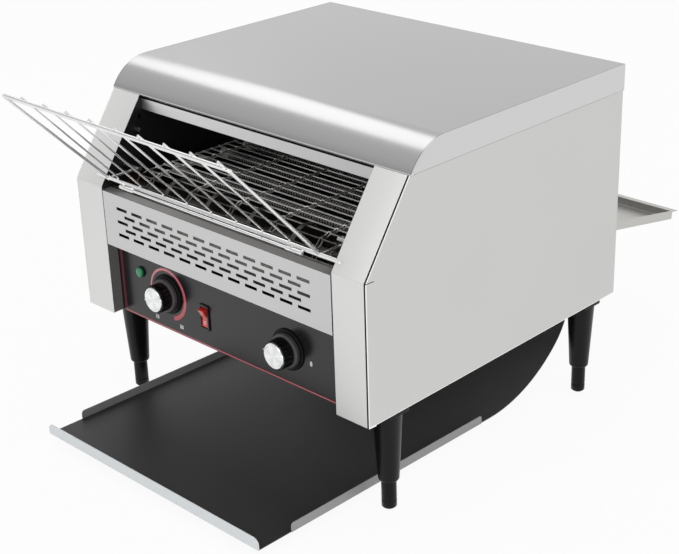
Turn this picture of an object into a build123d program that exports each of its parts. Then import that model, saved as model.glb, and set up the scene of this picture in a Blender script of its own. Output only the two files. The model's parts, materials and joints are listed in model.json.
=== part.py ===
from build123d import *
from math import asin, atan2, cos, degrees, hypot, pi, radians, sin, tan
import os

os.makedirs("parts", exist_ok=True)

# Conveyor toaster, in millimetres. X runs across the machine, Y from its front to its back, Z up.
# The floor is Z = 0, and Y = 0 is halfway between the rack's far edge and the rear tray's lip.

# ---------------------------------------------------------------- body
body_width = 467.4
body_depth = 430.0
leg_height = 125.0
front_rise = 161.5          # upright part of the front, up to the fold
slant_run = 66.0            # slanted part of the front
slant_rise = 94.3
roof_rise = 30.7
roof_radius = 60.0
post_width = 47.7           # front strip beside the opening
sheet = 0.8
thick_sheet = 1.2
post_return = 14.0
seam_gap = 1.8              # dark seam between a front post and a side panel
side_band = 10.0            # folded front band of a side panel
side_flange = 16.0
side_tuck = 15.0            # side panel's reach up inside the roof
tuck_back = 2.5             # side panel's upper corner behind the roof's edge
relief = 0.8                # width of a bend relief cut

# ---------------------------------------------------------------- clearances
seat_gap = 0.3              # between a moving piece and what carries it
fit_gap = 0.05              # radial running fit of shafts, pins and tubes
slip_gap = 0.1              # between a fitted sheet and its neighbour
wheel_gap = 0.4             # between a wheel's tooth and the wire or roller in it

# ---------------------------------------------------------------- front panels
vent_height = 67.2
vent_drop = 4.0             # vent panel's top below the fold
vent_depth = 14.0
vent_ear_in = 3.0
slot_length = 18.6
slot_height = 3.5
slot_pitch = 26.9
slot_row_pitch = 8.1
slot_rows = 5
slot_drop = 16.5            # top row below the vent panel's top
slot_shift = -3.3           # slots' middle from the machine's middle
slot_margin = 20.0
panel_in = 15.0             # control panel behind the front
panel_sheet = 1.5
lintel_in = 69.0
lintel_height = 16.2
lintel_gap = 2.3
lintel_lip = 6.0

# ---------------------------------------------------------------- controls
knob_height = 46.3
speed_drop = 4.5            # speed knob below the heat knob
heat_in = 87.8              # heat knob's centre from the opening's left edge
speed_in = 84.5             # speed knob's centre from the opening's right edge
knob_face = 22.5            # cap's face ahead of the panel
spindle_radius = 3.0
spindle_inside = 7.0
collar_radius = 24.0
collar_depth = 2.5
knob_base_radius = 20.0
knob_base_depth = 5.0
knob_grip_radius = 17.0
knob_flutes = 24
flute_radius = 0.9
cap_disc_radius = 14.8
cap_disc_depth = 2.0
rocker_x = -34.0
rocker_height = 37.0
rocker_frame_size = (15.0, 31.0)
rocker_rim = 2.0
rocker_body_depth = 16.0
rocker_wall = 1.7
rocker_swing = 8.0          # degrees each side of the middle
rocker_pivot_in = 5.0
rocker_pin_radius = 1.5
lamp_in = 40.7
lamp_height = 60.8
lamp_radius = 6.5
lamp_wall = 1.0
lamp_rim = 1.5
lamp_depth = 20.0

# ---------------------------------------------------------------- chamber
tube_count = 4
tube_radius = 5.0
tube_front_room = 64.0      # first tube behind the idler shaft
tube_back_room = 74.0       # last tube ahead of the drive shaft
tube_lift = 75.5            # upper tubes above the shafts
cap_radius = 7.0
cap_inside = 14.0
cap_outside = 6.0
cap_pocket = 10.0
ceiling_lift = 18.0
ceiling_over = 30.0         # ceiling's reach behind the drive shaft
ceiling_skirt = 26.0
dish_drop = 14.5
dish_lip = 5.0
shield_in = 150.0
shield_lift = 13.5          # shield's deck above the vent panel's lower edge
guard_gap = 4.5
spy_hole = (64.0, 55.0)     # behind the front, above the shafts' centre line
spy_radius = 2.5
cable_hole = (95.0, 45.0)   # behind the front, above the base
cable_hole_radius = 10.0

# ---------------------------------------------------------------- belt drive
belt_pitch = 12.0
belt_teeth = 12
belt_rise = 13.5            # belt's upper run above the fold
idler_in = 48.0
drop_room = 130.0           # drive shaft to the body's back
belt_wire_radius = 1.25
belt_margin = 27.0
belt_seam = 3.0             # straight runs end this far past the shafts
link_pitch = 68.0
link_width = 3.0
link_depth = 1.6
shaft_radius = 5.0
bush_radius = 8.0
bush_flange = 3.0
bush_head = 4.0
wheel_width = 6.0
wheel_reach = 1.2
chain_pitch = 6.35
chain_teeth = 16
chain_runs = 14
chain_room = 13.0           # chain's middle inside the side panel
chain_wheel_width = 3.0
roller_radius = 1.65
sprocket_reach = 1.0
plate_gap = 0.8
plate_thick = 1.0
plate_height = 5.0
motor_half = 22.0
motor_depth = 25.0
motor_corner = 6.0
motor_shaft_radius = 4.0
motor_shaft_inside = 7.5
can_radius = 24.0
can_shift = 46.0

# ---------------------------------------------------------------- electrics
fan_x = -60.0
fan_in = 92.0
fan_half = 40.0
fan_depth = 25.0
fan_bore = 37.0
fan_boss = 14.0
fan_floor = 5.0
fan_pin = 2.0
fan_spoke = 3.0
blade_count = 7
blade_tip_gap = 2.5
blade_height = 17.0
blade_thick = 1.6
grille_slots = 7
grille_size = (60.0, 5.0)
grille_pitch = 9.0
switch_half = 15.0
switch_depth = 24.0
tab_reach = 5.0
tab_thick = 1.0
pot_radius = 12.0
pot_depth = 11.0
board_size = (70.0, 50.0, 1.6)
board_lift = 6.0
board_in = 85.0
board_post = 2.5
board_post_in = 5.0
coil_radius = 7.0
coil_height = 18.0
coil_place = (-20.0, -7.0)  # on the board, from its middle
sink_size = (24.0, 16.0, 15.0)
sink_place = (12.0, -7.0)
plug_size = (45.0, 9.0, 10.0)
plug_place = (-2.5, 14.5)
strip_size = (48.0, 20.0, 18.0)
strip_in = 90.0
strip_wall_gap = 19.0       # between the strip and the left inner wall
strip_poles = 6

# ---------------------------------------------------------------- rack
rod_radius = 2.5
rod_overlap = 10.0          # rod's reach onto a front post
rod_up_slant = 12.5         # rod's seat, measured up the slanted strip
rack_length = 179.0
rack_lean = 45.8            # degrees above the horizontal
frame_wire_radius = 2.0
second_bar_radius = 1.5
rack_wire_radius = 1.25
rack_taper = 14.5           # rack's far edge is wider by this much on each side
rack_margin = 8.0
rack_bend = 7.0
rack_wire_count = 9
rack_wire_pitch = 37.5
second_bar_back = 9.5
nub_length = 1.5
arm_length = 37.0
stop_bar_radius = 1.6
stop_bar_out = 6.0
stop_bar_drop = 2.0
stop_bar_margin = 16.0
sleeve_length = 24.0
sleeve_wall = 0.8
pin_radius = 2.5
pin_length = 27.0
pin_back = 4.0
spare_pin = (57.0, 55.5)    # behind the front, above the fold
spare_pin_length = 6.0

# ---------------------------------------------------------------- chute and rear tray
chute_margin = 6.0          # chute and tray inside the opening's edges
chute_reach = 112.0         # chute's lip ahead of the front
chute_sheet = 1.0
chute_front_z = 12.0
chute_fall = 1.13           # degrees, floor's fall towards the back
chute_bend = 45.0           # degrees turned by each curve
chute_low_radius = 180.0
chute_upright = 5.1
chute_back_room = 13.8
chute_head_gap = 4.5
lip_height = 14.0
lip_corner = 8.0
flange_height = 11.0
flange_corner = 4.0
flange_front = 65.5
flange_end = 15.9           # flange's end ahead of the floor's curve
ear_reach = 6.5
ear_width = 16.0
ear_depth = 12.0
ear_drop = 8.0
ear_thick = 2.0
rail_gap = 3.0
rail_width = 8.0
rail_in = 75.0
tray_reach = 224.5          # tray's lip behind the back
tray_slope = 10.9           # degrees, down towards the back
tray_sheet = 0.8
tray_wall = 10.6
tray_lip = 12.6
tray_hem = 3.0
hem_thick = 1.6
tray_inside = 40.0
tray_low = 17.6             # tray's lowest corner above the body's bottom
tray_rail_in = 172.0
tray_rail_stop = 6.0
tray_ledge = 6.0
tray_web = 4.0
window_room = (5.5, 58.5)   # rear window below and above the tray's floor

# ---------------------------------------------------------------- legs, back and fasteners
leg_inset = 22.2
leg_front_in = 50.0
leg_back_in = 35.3
leg_top_radius = 16.7
leg_low_radius = 11.6
leg_flange_half = 16.8
leg_flange = 7.5
leg_low_z = 35.0
leg_round = 2.5
foot_radius = 8.4
foot_inside = 6.0
foot_travel = 20.0          # how far a foot screws in
foot_chamfer = 2.0
stud_radius = 4.0
stud_length = 48.0
leg_bolt_radius = 2.5
leg_bolt_spread = 9.0
leg_bolt_depth = 11.0
bolt_head = 3.0
back_lift = 12.0            # rear panel's reach up inside the roof
back_screw_radius = 2.0
back_screw_depth = 6.0
back_screw_in = 9.7
back_screw_pitch = 150.0
louvre_size = (18.0, 5.0)
louvre_rows = 4
louvre_count = 5
gland_in = 23.7
gland_height = 32.0
gland_radius = 8.0
gland_nut = 11.0
gland_nut_depth = 5.0
gland_length = (12.0, 14.0)
gland_bore = 4.0

# ---------------------------------------------------------------- worked-out places
slant = atan2(slant_rise, slant_run)
bottom_z = leg_height
fold_z = bottom_z + front_rise
eave_z = fold_z + slant_rise
top_z = eave_z + roof_rise
half_width = body_width / 2
opening_half = half_width - post_width
post_outer = half_width - sheet - seam_gap
base_top = bottom_z + thick_sheet

rod_off = rod_radius + seat_gap
rod_back = rod_up_slant * cos(slant) - rod_off * sin(slant)
rod_z = fold_z + rod_up_slant * sin(slant) + rod_off * cos(slant)
rack_cos = cos(radians(rack_lean))
rack_sin = sin(radians(rack_lean))
rack_reach = rack_length * rack_cos - rod_back + frame_wire_radius
front = (rack_reach - body_depth - tray_reach) / 2
back = front + body_depth
rod_y = front + rod_back
eave_y = front + slant_run

wall_in = opening_half + 1.0
wall_out = wall_in + thick_sheet
fitted_half = wall_in - slip_gap
wall_top = eave_z - 3.0
belt_top = fold_z + belt_rise
belt_radius = belt_pitch / 2 / sin(pi / belt_teeth)
belt_runs = round((body_depth - idler_in - drop_room) / belt_pitch)
shaft_z = belt_top - belt_radius
idler_y = front + idler_in
drive_y = idler_y + belt_pitch * belt_runs
tube_pitch = (drive_y - idler_y - tube_front_room - tube_back_room) / (tube_count - 1)
tube_ys = [idler_y + tube_front_room + tube_pitch * i for i in range(tube_count)]
upper_tube_z = shaft_z + tube_lift

vent_high = fold_z - vent_drop
vent_low = vent_high - vent_height
vent_half = opening_half - seam_gap
panel_y = front + panel_in
panel_back = panel_y + panel_sheet
heat_x = -opening_half + heat_in
speed_x = opening_half - speed_in
knob_z = bottom_z + knob_height
speed_z = knob_z - speed_drop
knob_places = ((heat_x, knob_z), (speed_x, speed_z))
lamp_x = -opening_half + lamp_in
lamp_z = bottom_z + lamp_height
rocker_z = bottom_z + rocker_height
chute_half = opening_half - chute_margin
tray_half = opening_half - chute_margin


# ---------------------------------------------------------------- helpers
def write_part(piece, name):
    piece.part.label = name
    export_step(piece.part, f"parts/{name}.step")


def block(x, y, z, mode=Mode.ADD):
    """A box between the ends of three spans."""
    with Locations(((x[0] + x[1]) / 2, (y[0] + y[1]) / 2, (z[0] + z[1]) / 2)):
        Box(abs(x[1] - x[0]), abs(y[1] - y[0]), abs(z[1] - z[0]), mode=mode)


def bar_x(x, y, z, radius, mode=Mode.ADD):
    """A round bar or hole along X."""
    with BuildSketch(Plane.YZ.offset(min(x))) as profile:
        with Locations((y, z)):
            Circle(radius)
    extrude(profile.sketch, amount=abs(x[1] - x[0]), mode=mode)


def bar_y(x, y, z, radius, mode=Mode.ADD):
    """A round bar or hole along Y."""
    with BuildSketch(Plane.XZ.offset(-min(y))) as profile:
        with Locations((x, z)):
            Circle(radius)
    extrude(profile.sketch, amount=-abs(y[1] - y[0]), mode=mode)


def bar_z(x, y, z, radius, mode=Mode.ADD):
    """A round bar or hole along Z."""
    with BuildSketch(Plane.XY.offset(min(z))) as profile:
        with Locations((x, y)):
            Circle(radius)
    extrude(profile.sketch, amount=abs(z[1] - z[0]), mode=mode)


def nut_y(x, y, z, radius):
    """A hexagon nut along Y."""
    with BuildSketch(Plane.XZ.offset(-min(y))) as profile:
        with Locations((x, z)):
            RegularPolygon(radius, 6)
    extrude(profile.sketch, amount=-abs(y[1] - y[0]))


def prism_x(points, x, mode=Mode.ADD):
    """A side-view outline, carried across X."""
    with BuildSketch(Plane.YZ.offset(min(x))) as profile:
        with BuildLine():
            Polyline(*points, close=True)
        make_face()
    extrude(profile.sketch, amount=abs(x[1] - x[0]), mode=mode)


def folded_x(points, thickness, half):
    """A sheet folded along a side-view path, carried across X."""
    with BuildSketch(Plane.YZ.offset(-half)) as profile:
        with BuildLine():
            Polyline(*points)
        trace(line_width=thickness)
    extrude(profile.sketch, amount=2 * half)


def wire(points, radius, bend):
    """A round wire along straight runs joined by bends."""
    with BuildLine() as path:
        FilletPolyline(*points, radius=bend)
    with BuildSketch(Plane(origin=path.line @ 0, z_dir=path.line % 0)) as profile:
        Circle(radius)
    sweep(profile.sketch, path=path.line)


def front_edge(depth, top=0.0):
    """The front outline, moved back by a depth: foot, fold and upper end."""
    fold = fold_z - depth * (1 - sin(slant)) / cos(slant)
    head_y = eave_y + depth / sin(slant) + top / tan(slant)
    return [(front + depth, bottom_z), (front + depth, fold), (head_y, eave_z + top)]


def loop_places(first, gaps, centre, radius, pitch, teeth):
    """Places one pitch apart around two equal wheels, along the loop and across it."""
    places = [(first + pitch * i, centre + side * radius) for i in range(gaps + 1) for side in (-1, 1)]
    for i in range(1, teeth // 2):
        turn = 2 * pi * i / teeth
        places.append((first - radius * sin(turn), centre + radius * cos(turn)))
        places.append((first + pitch * gaps + radius * sin(turn), centre + radius * cos(turn)))
    return places


def loop_band(centre, length, radius, depth, x, turn=0):
    """A flat band around two equal wheels, its middle line at the wheels' radius."""
    with BuildSketch(Plane.YZ.offset(x[0])) as profile:
        with Locations(centre):
            SlotCenterToCenter(length, 2 * radius + depth, rotation=turn)
            SlotCenterToCenter(length, 2 * radius - depth, rotation=turn, mode=Mode.SUBTRACT)
    extrude(profile.sketch, amount=x[1] - x[0])


def toothed_wheel(y, z, x, radius, teeth, seat, reach, bore):
    """A disc with round seats on its pitch circle, one straight up, and room for the next link."""
    pitch = 2 * radius * sin(pi / teeth)
    leave_radius = hypot(radius, pitch)
    leave_turn = degrees(atan2(pitch, radius))
    with BuildSketch(Plane.YZ.offset(x[0])) as profile:
        with Locations((y, z)):
            Circle(radius + reach)
            with PolarLocations(radius, teeth, start_angle=90):
                Circle(seat, mode=Mode.SUBTRACT)
            for turn in (-leave_turn, leave_turn):
                with PolarLocations(leave_radius, teeth, start_angle=90 + turn):
                    Circle(seat, mode=Mode.SUBTRACT)
            Circle(bore, mode=Mode.SUBTRACT)
    extrude(profile.sketch, amount=x[1] - x[0])


# ---------------------------------------------------------------- side panels
for side, name in ((-1, "left_side_panel"), (1, "right_side_panel")):
    with BuildPart() as side_panel:
        tuck_top = eave_z + side_tuck
        outline = front_edge(0) + [(eave_y + tuck_back, eave_z), (eave_y + tuck_back + side_tuck, tuck_top)]
        outline += [(back, tuck_top), (back, base_top)]
        outline += [(front + side_band, base_top), (front + side_band, bottom_z)]
        skin = (side * (half_width - sheet), side * half_width)
        prism_x(outline, skin)
        cut = (fold_z - relief / 2, fold_z + relief / 2)
        block(skin, (front - 1, front + side_band), cut, Mode.SUBTRACT)
        flange = (side * (half_width - side_flange), side * half_width)
        block(flange, (front + panel_in + 2, back - sheet), (base_top, base_top + sheet))
    write_part(side_panel, name)

# ---------------------------------------------------------------- front posts
for side, name in ((-1, "left_front_post"), (1, "right_front_post")):
    with BuildPart() as post:
        outer = front_edge(0, -seat_gap)
        inner = front_edge(post_return, -seat_gap)
        prism_x(outer + inner[::-1], (side * opening_half, side * post_outer))
        skin = front_edge(sheet, 1)
        deep = front_edge(post_return + 1, 1)
        skin[0] = (skin[0][0], bottom_z - 1)
        deep[0] = (deep[0][0], bottom_z - 1)
        prism_x(skin + deep[::-1], (side * (opening_half - 1), side * (post_outer - sheet)), Mode.SUBTRACT)
        inner_edge = (side * opening_half, side * (opening_half + sheet))
        block(inner_edge, (front, panel_y - seat_gap), (bottom_z, vent_low - seat_gap))
    write_part(post, name)

# ---------------------------------------------------------------- top cover
roof_back = back + sheet
roof_z = top_z - roof_radius
roof_y = eave_y + (roof_radius**2 - (roof_radius - roof_rise) ** 2) ** 0.5


def roof_region(inset, half, low, mode=Mode.ADD):
    """The roof's side outline, moved inwards by an inset, down to a height."""
    radius = roof_radius - inset
    start = degrees(asin((low - roof_z) / radius))
    with BuildSketch(Plane.YZ.offset(-half)) as profile:
        with BuildLine():
            nose = CenterArc((roof_y, roof_z), radius, 180 - start, start - 90)
            deck = Line(nose @ 1, (roof_back - inset, top_z - inset))
            tail = Line(deck @ 1, (roof_back - inset, low))
            Line(tail @ 1, nose @ 0)
        make_face()
    extrude(profile.sketch, amount=2 * half, mode=mode)


with BuildPart() as top_cover:
    roof_region(0, half_width + sheet, eave_z)
    roof_region(sheet, half_width, eave_z - 1, Mode.SUBTRACT)
write_part(top_cover, "top_cover")

# ---------------------------------------------------------------- inner walls
for side, name in ((-1, "left_inner_wall"), (1, "right_inner_wall")):
    with BuildPart() as inner_wall:
        edge = front_edge(sheet + slip_gap, wall_top - eave_z)
        edge[0] = (edge[0][0], base_top)
        span = (side * wall_in, side * wall_out)
        prism_x(edge + [(back - sheet, wall_top), (back - sheet, base_top)], span)
        for y in (idler_y, drive_y):
            bar_x(span, y, shaft_z, bush_radius, Mode.SUBTRACT)
        for y in tube_ys:
            for z in (shaft_z, upper_tube_z):
                bar_x(span, y, z, cap_radius, Mode.SUBTRACT)
        bar_x(span, front + spy_hole[0], fold_z + spy_hole[1] + belt_rise, spy_radius, Mode.SUBTRACT)
        bar_x(span, front + cable_hole[0], bottom_z + cable_hole[1], cable_hole_radius, Mode.SUBTRACT)
    write_part(inner_wall, name)

# ---------------------------------------------------------------- strip under the roof's edge
with BuildPart() as opening_lintel:
    lintel_y = front + lintel_in
    lintel_high = eave_z - lintel_gap
    lintel_low = lintel_high - lintel_height
    span = (-fitted_half, fitted_half)
    block(span, (lintel_y, lintel_y + sheet), (lintel_low, lintel_high))
    block(span, (lintel_y, lintel_y + lintel_lip), (lintel_high - sheet, lintel_high))
    block(span, (lintel_y, lintel_y + lintel_lip), (lintel_low, lintel_low + sheet))
write_part(opening_lintel, "opening_lintel")

# ---------------------------------------------------------------- slotted vent panel
with BuildPart() as vent_panel:
    span = (-vent_half, vent_half)
    block(span, (front, front + sheet), (vent_low, vent_high))
    block(span, (front, front + vent_depth), (vent_high - sheet, vent_high))
    block(span, (front, front + vent_depth), (vent_low, vent_low + sheet))
    for side in (-1, 1):
        ear = (side * (vent_half - sheet), side * wall_in)
        block(ear, (front + vent_ear_in, front + vent_depth), (vent_low, vent_high))
    for row in range(slot_rows):
        count = int((2 * vent_half - 2 * slot_margin - slot_length) / slot_pitch) + 1 - row % 2
        with BuildSketch(Plane.XZ.offset(-front)) as slots:
            with Locations((slot_shift, vent_high - slot_drop - row * slot_row_pitch)):
                with GridLocations(slot_pitch, 1, count, 1):
                    Rectangle(slot_length, slot_height)
        extrude(slots.sketch, amount=-sheet, mode=Mode.SUBTRACT)
write_part(vent_panel, "vent_panel")

# ---------------------------------------------------------------- control panel
rocker_half = rocker_frame_size[0] / 2 - 1
rocker_half_height = rocker_frame_size[1] / 2 - 1.5
through_panel = (panel_y, panel_back)

with BuildPart() as control_panel:
    block((-fitted_half, fitted_half), through_panel, (bottom_z, vent_low - seat_gap))
    for x, z in knob_places:
        bar_y(x, through_panel, z, spindle_radius + seat_gap, Mode.SUBTRACT)
    bar_y(lamp_x, through_panel, lamp_z, lamp_radius - lamp_wall, Mode.SUBTRACT)
    hole = (rocker_z - rocker_half_height, rocker_z + rocker_half_height)
    block((rocker_x - rocker_half, rocker_x + rocker_half), through_panel, hole, Mode.SUBTRACT)
write_part(control_panel, "control_panel")

# ---------------------------------------------------------------- base plate
drop_front = drive_y + belt_radius + 6.0
drop_back = back - 18.0
fan_y = front + fan_in
leg_x = half_width - leg_inset
leg_ys = (front + leg_front_in, back - leg_back_in)
leg_places = [
    ("front_left_foot", -leg_x, leg_ys[0]),
    ("front_right_foot", leg_x, leg_ys[0]),
    ("rear_left_foot", -leg_x, leg_ys[1]),
    ("rear_right_foot", leg_x, leg_ys[1]),
]
bolt_places = [(x, y + dy) for name, x, y in leg_places for dy in (-leg_bolt_spread, leg_bolt_spread)]

with BuildPart() as base_plate:
    base_half = half_width - side_flange + 3.5
    through_base = (bottom_z, base_top)
    block((-base_half, base_half), (panel_back + slip_gap, back - sheet), through_base)
    block((-opening_half, opening_half), (drop_front, drop_back), through_base, Mode.SUBTRACT)
    with BuildSketch(Plane.XY.offset(bottom_z)) as grille:
        with Locations((fan_x, fan_y)):
            with GridLocations(1, grille_pitch, 1, grille_slots):
                Rectangle(*grille_size)
    extrude(grille.sketch, amount=thick_sheet, mode=Mode.SUBTRACT)
    for x, y in bolt_places:
        bar_z(x, y, through_base, leg_bolt_radius, Mode.SUBTRACT)
write_part(base_plate, "base_plate")

# ---------------------------------------------------------------- rear tray
tilt = radians(tray_slope)
tray_end_y = back + tray_reach - tray_lip * cos(tilt) - tray_wall * sin(tilt)
tray_end_z = bottom_z + tray_low
tray_run = (tray_end_y - back + tray_inside) / cos(tilt)
tray_plane = Plane(origin=(0, tray_end_y, tray_end_z), x_dir=(1, 0, 0), z_dir=(0, sin(tilt), cos(tilt)))
tray_back_z = tray_end_z + (tray_end_y - back) * tan(tilt)


def tray_block(x, along, up):
    """A box in the tray's own frame: across, out along the slope and up from the floor."""
    with BuildSketch(tray_plane.offset(up[0])) as profile:
        with Locations(((x[0] + x[1]) / 2, (along[0] + along[1]) / 2)):
            Rectangle(abs(x[1] - x[0]), abs(along[1] - along[0]))
    extrude(profile.sketch, amount=up[1] - up[0])


with BuildPart() as rear_tray:
    span = (-tray_half, tray_half)
    tray_block(span, (-tray_run, 0), (0, tray_sheet))
    tray_block(span, (-tray_sheet, 0), (0, tray_wall))
    tray_block(span, (-tray_sheet, tray_lip), (tray_wall - tray_sheet, tray_wall))
    for side in (-1, 1):
        wall = (side * tray_half, side * (tray_half - tray_sheet))
        hem = (side * tray_half, side * (tray_half - tray_hem))
        tray_block(wall, (-tray_run, 0), (0, tray_wall))
        tray_block(hem, (-tray_run, 0), (tray_wall - hem_thick, tray_wall))
write_part(rear_tray, "rear_tray")

with BuildPart() as tray_rails:
    for side in (-1, 1):
        rail_start = (front + tray_rail_in - tray_end_y) / cos(tilt)
        rail_end = (back - tray_rail_stop - tray_end_y) / cos(tilt)
        along = (rail_start, rail_end)
        ledge = (side * (tray_half - tray_ledge), side * wall_in)
        web = (side * (wall_in - thick_sheet), side * wall_in)
        tray_block(ledge, along, (-seat_gap - thick_sheet, -seat_gap))
        tray_block(web, along, (-seat_gap, tray_wall + tray_web))
write_part(tray_rails, "tray_rails")

# ---------------------------------------------------------------- rear panel and its fasteners
gland_x = -half_width + gland_in
gland_z = bottom_z + gland_height
through_back = (back - sheet, back)
screw_edge = half_width - back_screw_in
back_screws = [(x, z) for z in (bottom_z + back_lift, eave_z - back_lift)
               for x in (-screw_edge, -back_screw_pitch / 2, back_screw_pitch / 2, screw_edge)]

with BuildPart() as rear_panel:
    inside = half_width - sheet
    block((-inside, inside), through_back, (base_top, eave_z + back_lift))
    window = (tray_back_z - window_room[0], tray_back_z + window_room[1])
    block((-tray_half - 4, tray_half + 4), through_back, window, Mode.SUBTRACT)
    with BuildSketch(Plane.XZ.offset(-back + sheet)) as louvres:
        with Locations((0, (window[1] + eave_z) / 2)):
            with GridLocations(back_screw_pitch, 14, 2, louvre_rows):
                with GridLocations(24, 1, louvre_count, 1):
                    SlotOverall(*louvre_size)
    extrude(louvres.sketch, amount=-sheet, mode=Mode.SUBTRACT)
    bar_y(gland_x, through_back, gland_z, gland_radius, Mode.SUBTRACT)
    for x, z in back_screws:
        bar_y(x, through_back, z, back_screw_radius, Mode.SUBTRACT)
write_part(rear_panel, "rear_panel")

with BuildPart() as panel_screws:
    for x, z in back_screws:
        bar_y(x, (back - back_screw_depth, back), z, back_screw_radius)
        bar_y(x, (back, back + back_screw_radius), z, back_screw_radius * 2)
write_part(panel_screws, "panel_screws")

with BuildPart() as cable_gland:
    bar_y(gland_x, (back - gland_length[0], back + gland_length[1]), gland_z, gland_radius)
    nut_y(gland_x, (back, back + gland_nut_depth), gland_z, gland_nut)
    nut_y(gland_x, (back - sheet - gland_nut_depth, back - sheet), gland_z, gland_nut)
    bar_y(gland_x, (back - gland_length[0], back + gland_length[1]), gland_z, gland_bore, Mode.SUBTRACT)
write_part(cable_gland, "cable_gland")

# ---------------------------------------------------------------- reflectors and shield
with BuildPart() as upper_reflector:
    ceiling_z = upper_tube_z + ceiling_lift
    ceiling_y = lintel_y + lintel_lip + sheet / 2
    path = [(ceiling_y, ceiling_z - lintel_lip), (ceiling_y, ceiling_z)]
    ceiling_end = drive_y + ceiling_over
    path += [(ceiling_end, ceiling_z), (ceiling_end + ceiling_skirt / 4, ceiling_z - ceiling_skirt)]
    folded_x(path, sheet, fitted_half)
write_part(upper_reflector, "upper_reflector")

with BuildPart() as lower_reflector:
    dish_z = shaft_z - dish_drop
    dish_front = idler_y + belt_radius + dish_lip
    dish_back = drive_y - belt_radius - dish_lip
    path = [(dish_front, dish_z + dish_lip), (dish_front + dish_lip, dish_z)]
    path += [(dish_back - dish_lip, dish_z), (dish_back, dish_z + dish_lip)]
    folded_x(path, sheet, fitted_half)
write_part(lower_reflector, "lower_reflector")

with BuildPart() as electrics_shield:
    guard_y = front + vent_depth + guard_gap
    deck_z = vent_low + shield_lift
    shield_y = front + shield_in
    path = [(shield_y, base_top), (shield_y, deck_z), (guard_y, deck_z), (guard_y, vent_high)]
    folded_x(path, sheet, fitted_half)
write_part(electrics_shield, "electrics_shield")

# ---------------------------------------------------------------- heater tubes
cap_end = wall_in - cap_inside
tube_half = cap_end + cap_pocket - seat_gap

for name, z in (("lower_heater_tubes", shaft_z), ("upper_heater_tubes", upper_tube_z)):
    with BuildPart() as tubes:
        for y in tube_ys:
            bar_x((-tube_half, tube_half), y, z, tube_radius)
    write_part(tubes, name)

with BuildPart() as heater_caps:
    for y in tube_ys:
        for z in (shaft_z, upper_tube_z):
            for side in (-1, 1):
                pocket = (side * cap_end, side * (cap_end + cap_pocket))
                bar_x((side * cap_end, side * (wall_out + cap_outside)), y, z, cap_radius - fit_gap)
                bar_x(pocket, y, z, tube_radius + fit_gap, Mode.SUBTRACT)
write_part(heater_caps, "heater_caps")

# ---------------------------------------------------------------- wire belt, its wheels and shafts
belt_half = wall_in - belt_margin
link_xs = [link_pitch * i for i in range(-2, 3)]
wheel_xs = [link_pitch * (i + 0.5) for i in range(-2, 2)]
loop_middle = ((idler_y + drive_y) / 2, shaft_z)

link_radius = belt_radius * cos(pi / belt_teeth / 2)

for name, mode in (("belt_runs", Mode.INTERSECT), ("belt_bends", Mode.SUBTRACT)):
    with BuildPart() as belt:
        for x in link_xs:
            band = (x - link_width / 2, x + link_width / 2)
            loop_band(loop_middle, drive_y - idler_y, link_radius, link_depth, band)
        with BuildSketch(Plane.YZ.offset(-belt_half)) as wires:
            with Locations(*loop_places(idler_y, belt_runs, shaft_z, belt_radius, belt_pitch, belt_teeth)):
                Circle(belt_wire_radius)
        extrude(wires.sketch, amount=2 * belt_half)
        across = (-belt_half - 1, belt_half + 1)
        upright = (shaft_z - 2 * belt_radius, shaft_z + 2 * belt_radius)
        block(across, (idler_y - belt_seam, drive_y + belt_seam), upright, mode)
    write_part(belt, name)

for name, y in (("idler_wheels", idler_y), ("drive_wheels", drive_y)):
    with BuildPart() as wheels:
        for x in wheel_xs:
            rim = (x - wheel_width / 2, x + wheel_width / 2)
            seat = belt_wire_radius + wheel_gap
            toothed_wheel(y, shaft_z, rim, belt_radius, belt_teeth, seat, wheel_reach, shaft_radius)
    write_part(wheels, name)

chain_x = half_width - chain_room
shaft_inside = wall_out + bush_head
shaft_end = chain_x + chain_wheel_width / 2 + 4.0

with BuildPart() as idler_shaft:
    bar_x((-shaft_inside, shaft_inside), idler_y, shaft_z, shaft_radius)
write_part(idler_shaft, "idler_shaft")

with BuildPart() as drive_shaft:
    bar_x((-shaft_inside, shaft_end), drive_y, shaft_z, shaft_radius)
write_part(drive_shaft, "drive_shaft")

with BuildPart() as shaft_bushes:
    for y in (idler_y, drive_y):
        for side in (-1, 1):
            bar_x((side * wall_in, side * (wall_out + bush_head)), y, shaft_z, bush_radius - fit_gap)
            bar_x((side * (wall_in - bush_head), side * wall_in), y, shaft_z, bush_radius + bush_flange)
            bore = (side * (wall_in - bush_head), side * (wall_out + bush_head))
            bar_x(bore, y, shaft_z, shaft_radius + fit_gap, Mode.SUBTRACT)
write_part(shaft_bushes, "shaft_bushes")

# ---------------------------------------------------------------- gear motor and chain
chain_radius = chain_pitch / 2 / sin(pi / chain_teeth)
chain_length = chain_pitch * chain_runs
motor_z = shaft_z - chain_length
motor_face = wall_out + motor_depth
chain_span = (chain_x - chain_wheel_width / 2, chain_x + chain_wheel_width / 2)
roller_seat = roller_radius + wheel_gap

with BuildPart() as gear_motor:
    gearbox_y = (drive_y - motor_half, drive_y + motor_half)
    block((wall_out, motor_face), gearbox_y, (motor_z - motor_half, motor_z + motor_half))
    fillet(gear_motor.edges().filter_by(Axis.X), radius=motor_corner)
    bar_x((wall_out, motor_face - motor_corner), drive_y + can_shift, motor_z, can_radius)
    ears_y = (drive_y - motor_half - 10, drive_y + motor_half + 10)
    block((wall_out, wall_out + 2), ears_y, (motor_z - motor_half / 2, motor_z + motor_half / 2))
    bar_x((motor_face - 8, motor_face), drive_y, motor_z, motor_shaft_radius + fit_gap, Mode.SUBTRACT)
write_part(gear_motor, "gear_motor")

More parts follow.
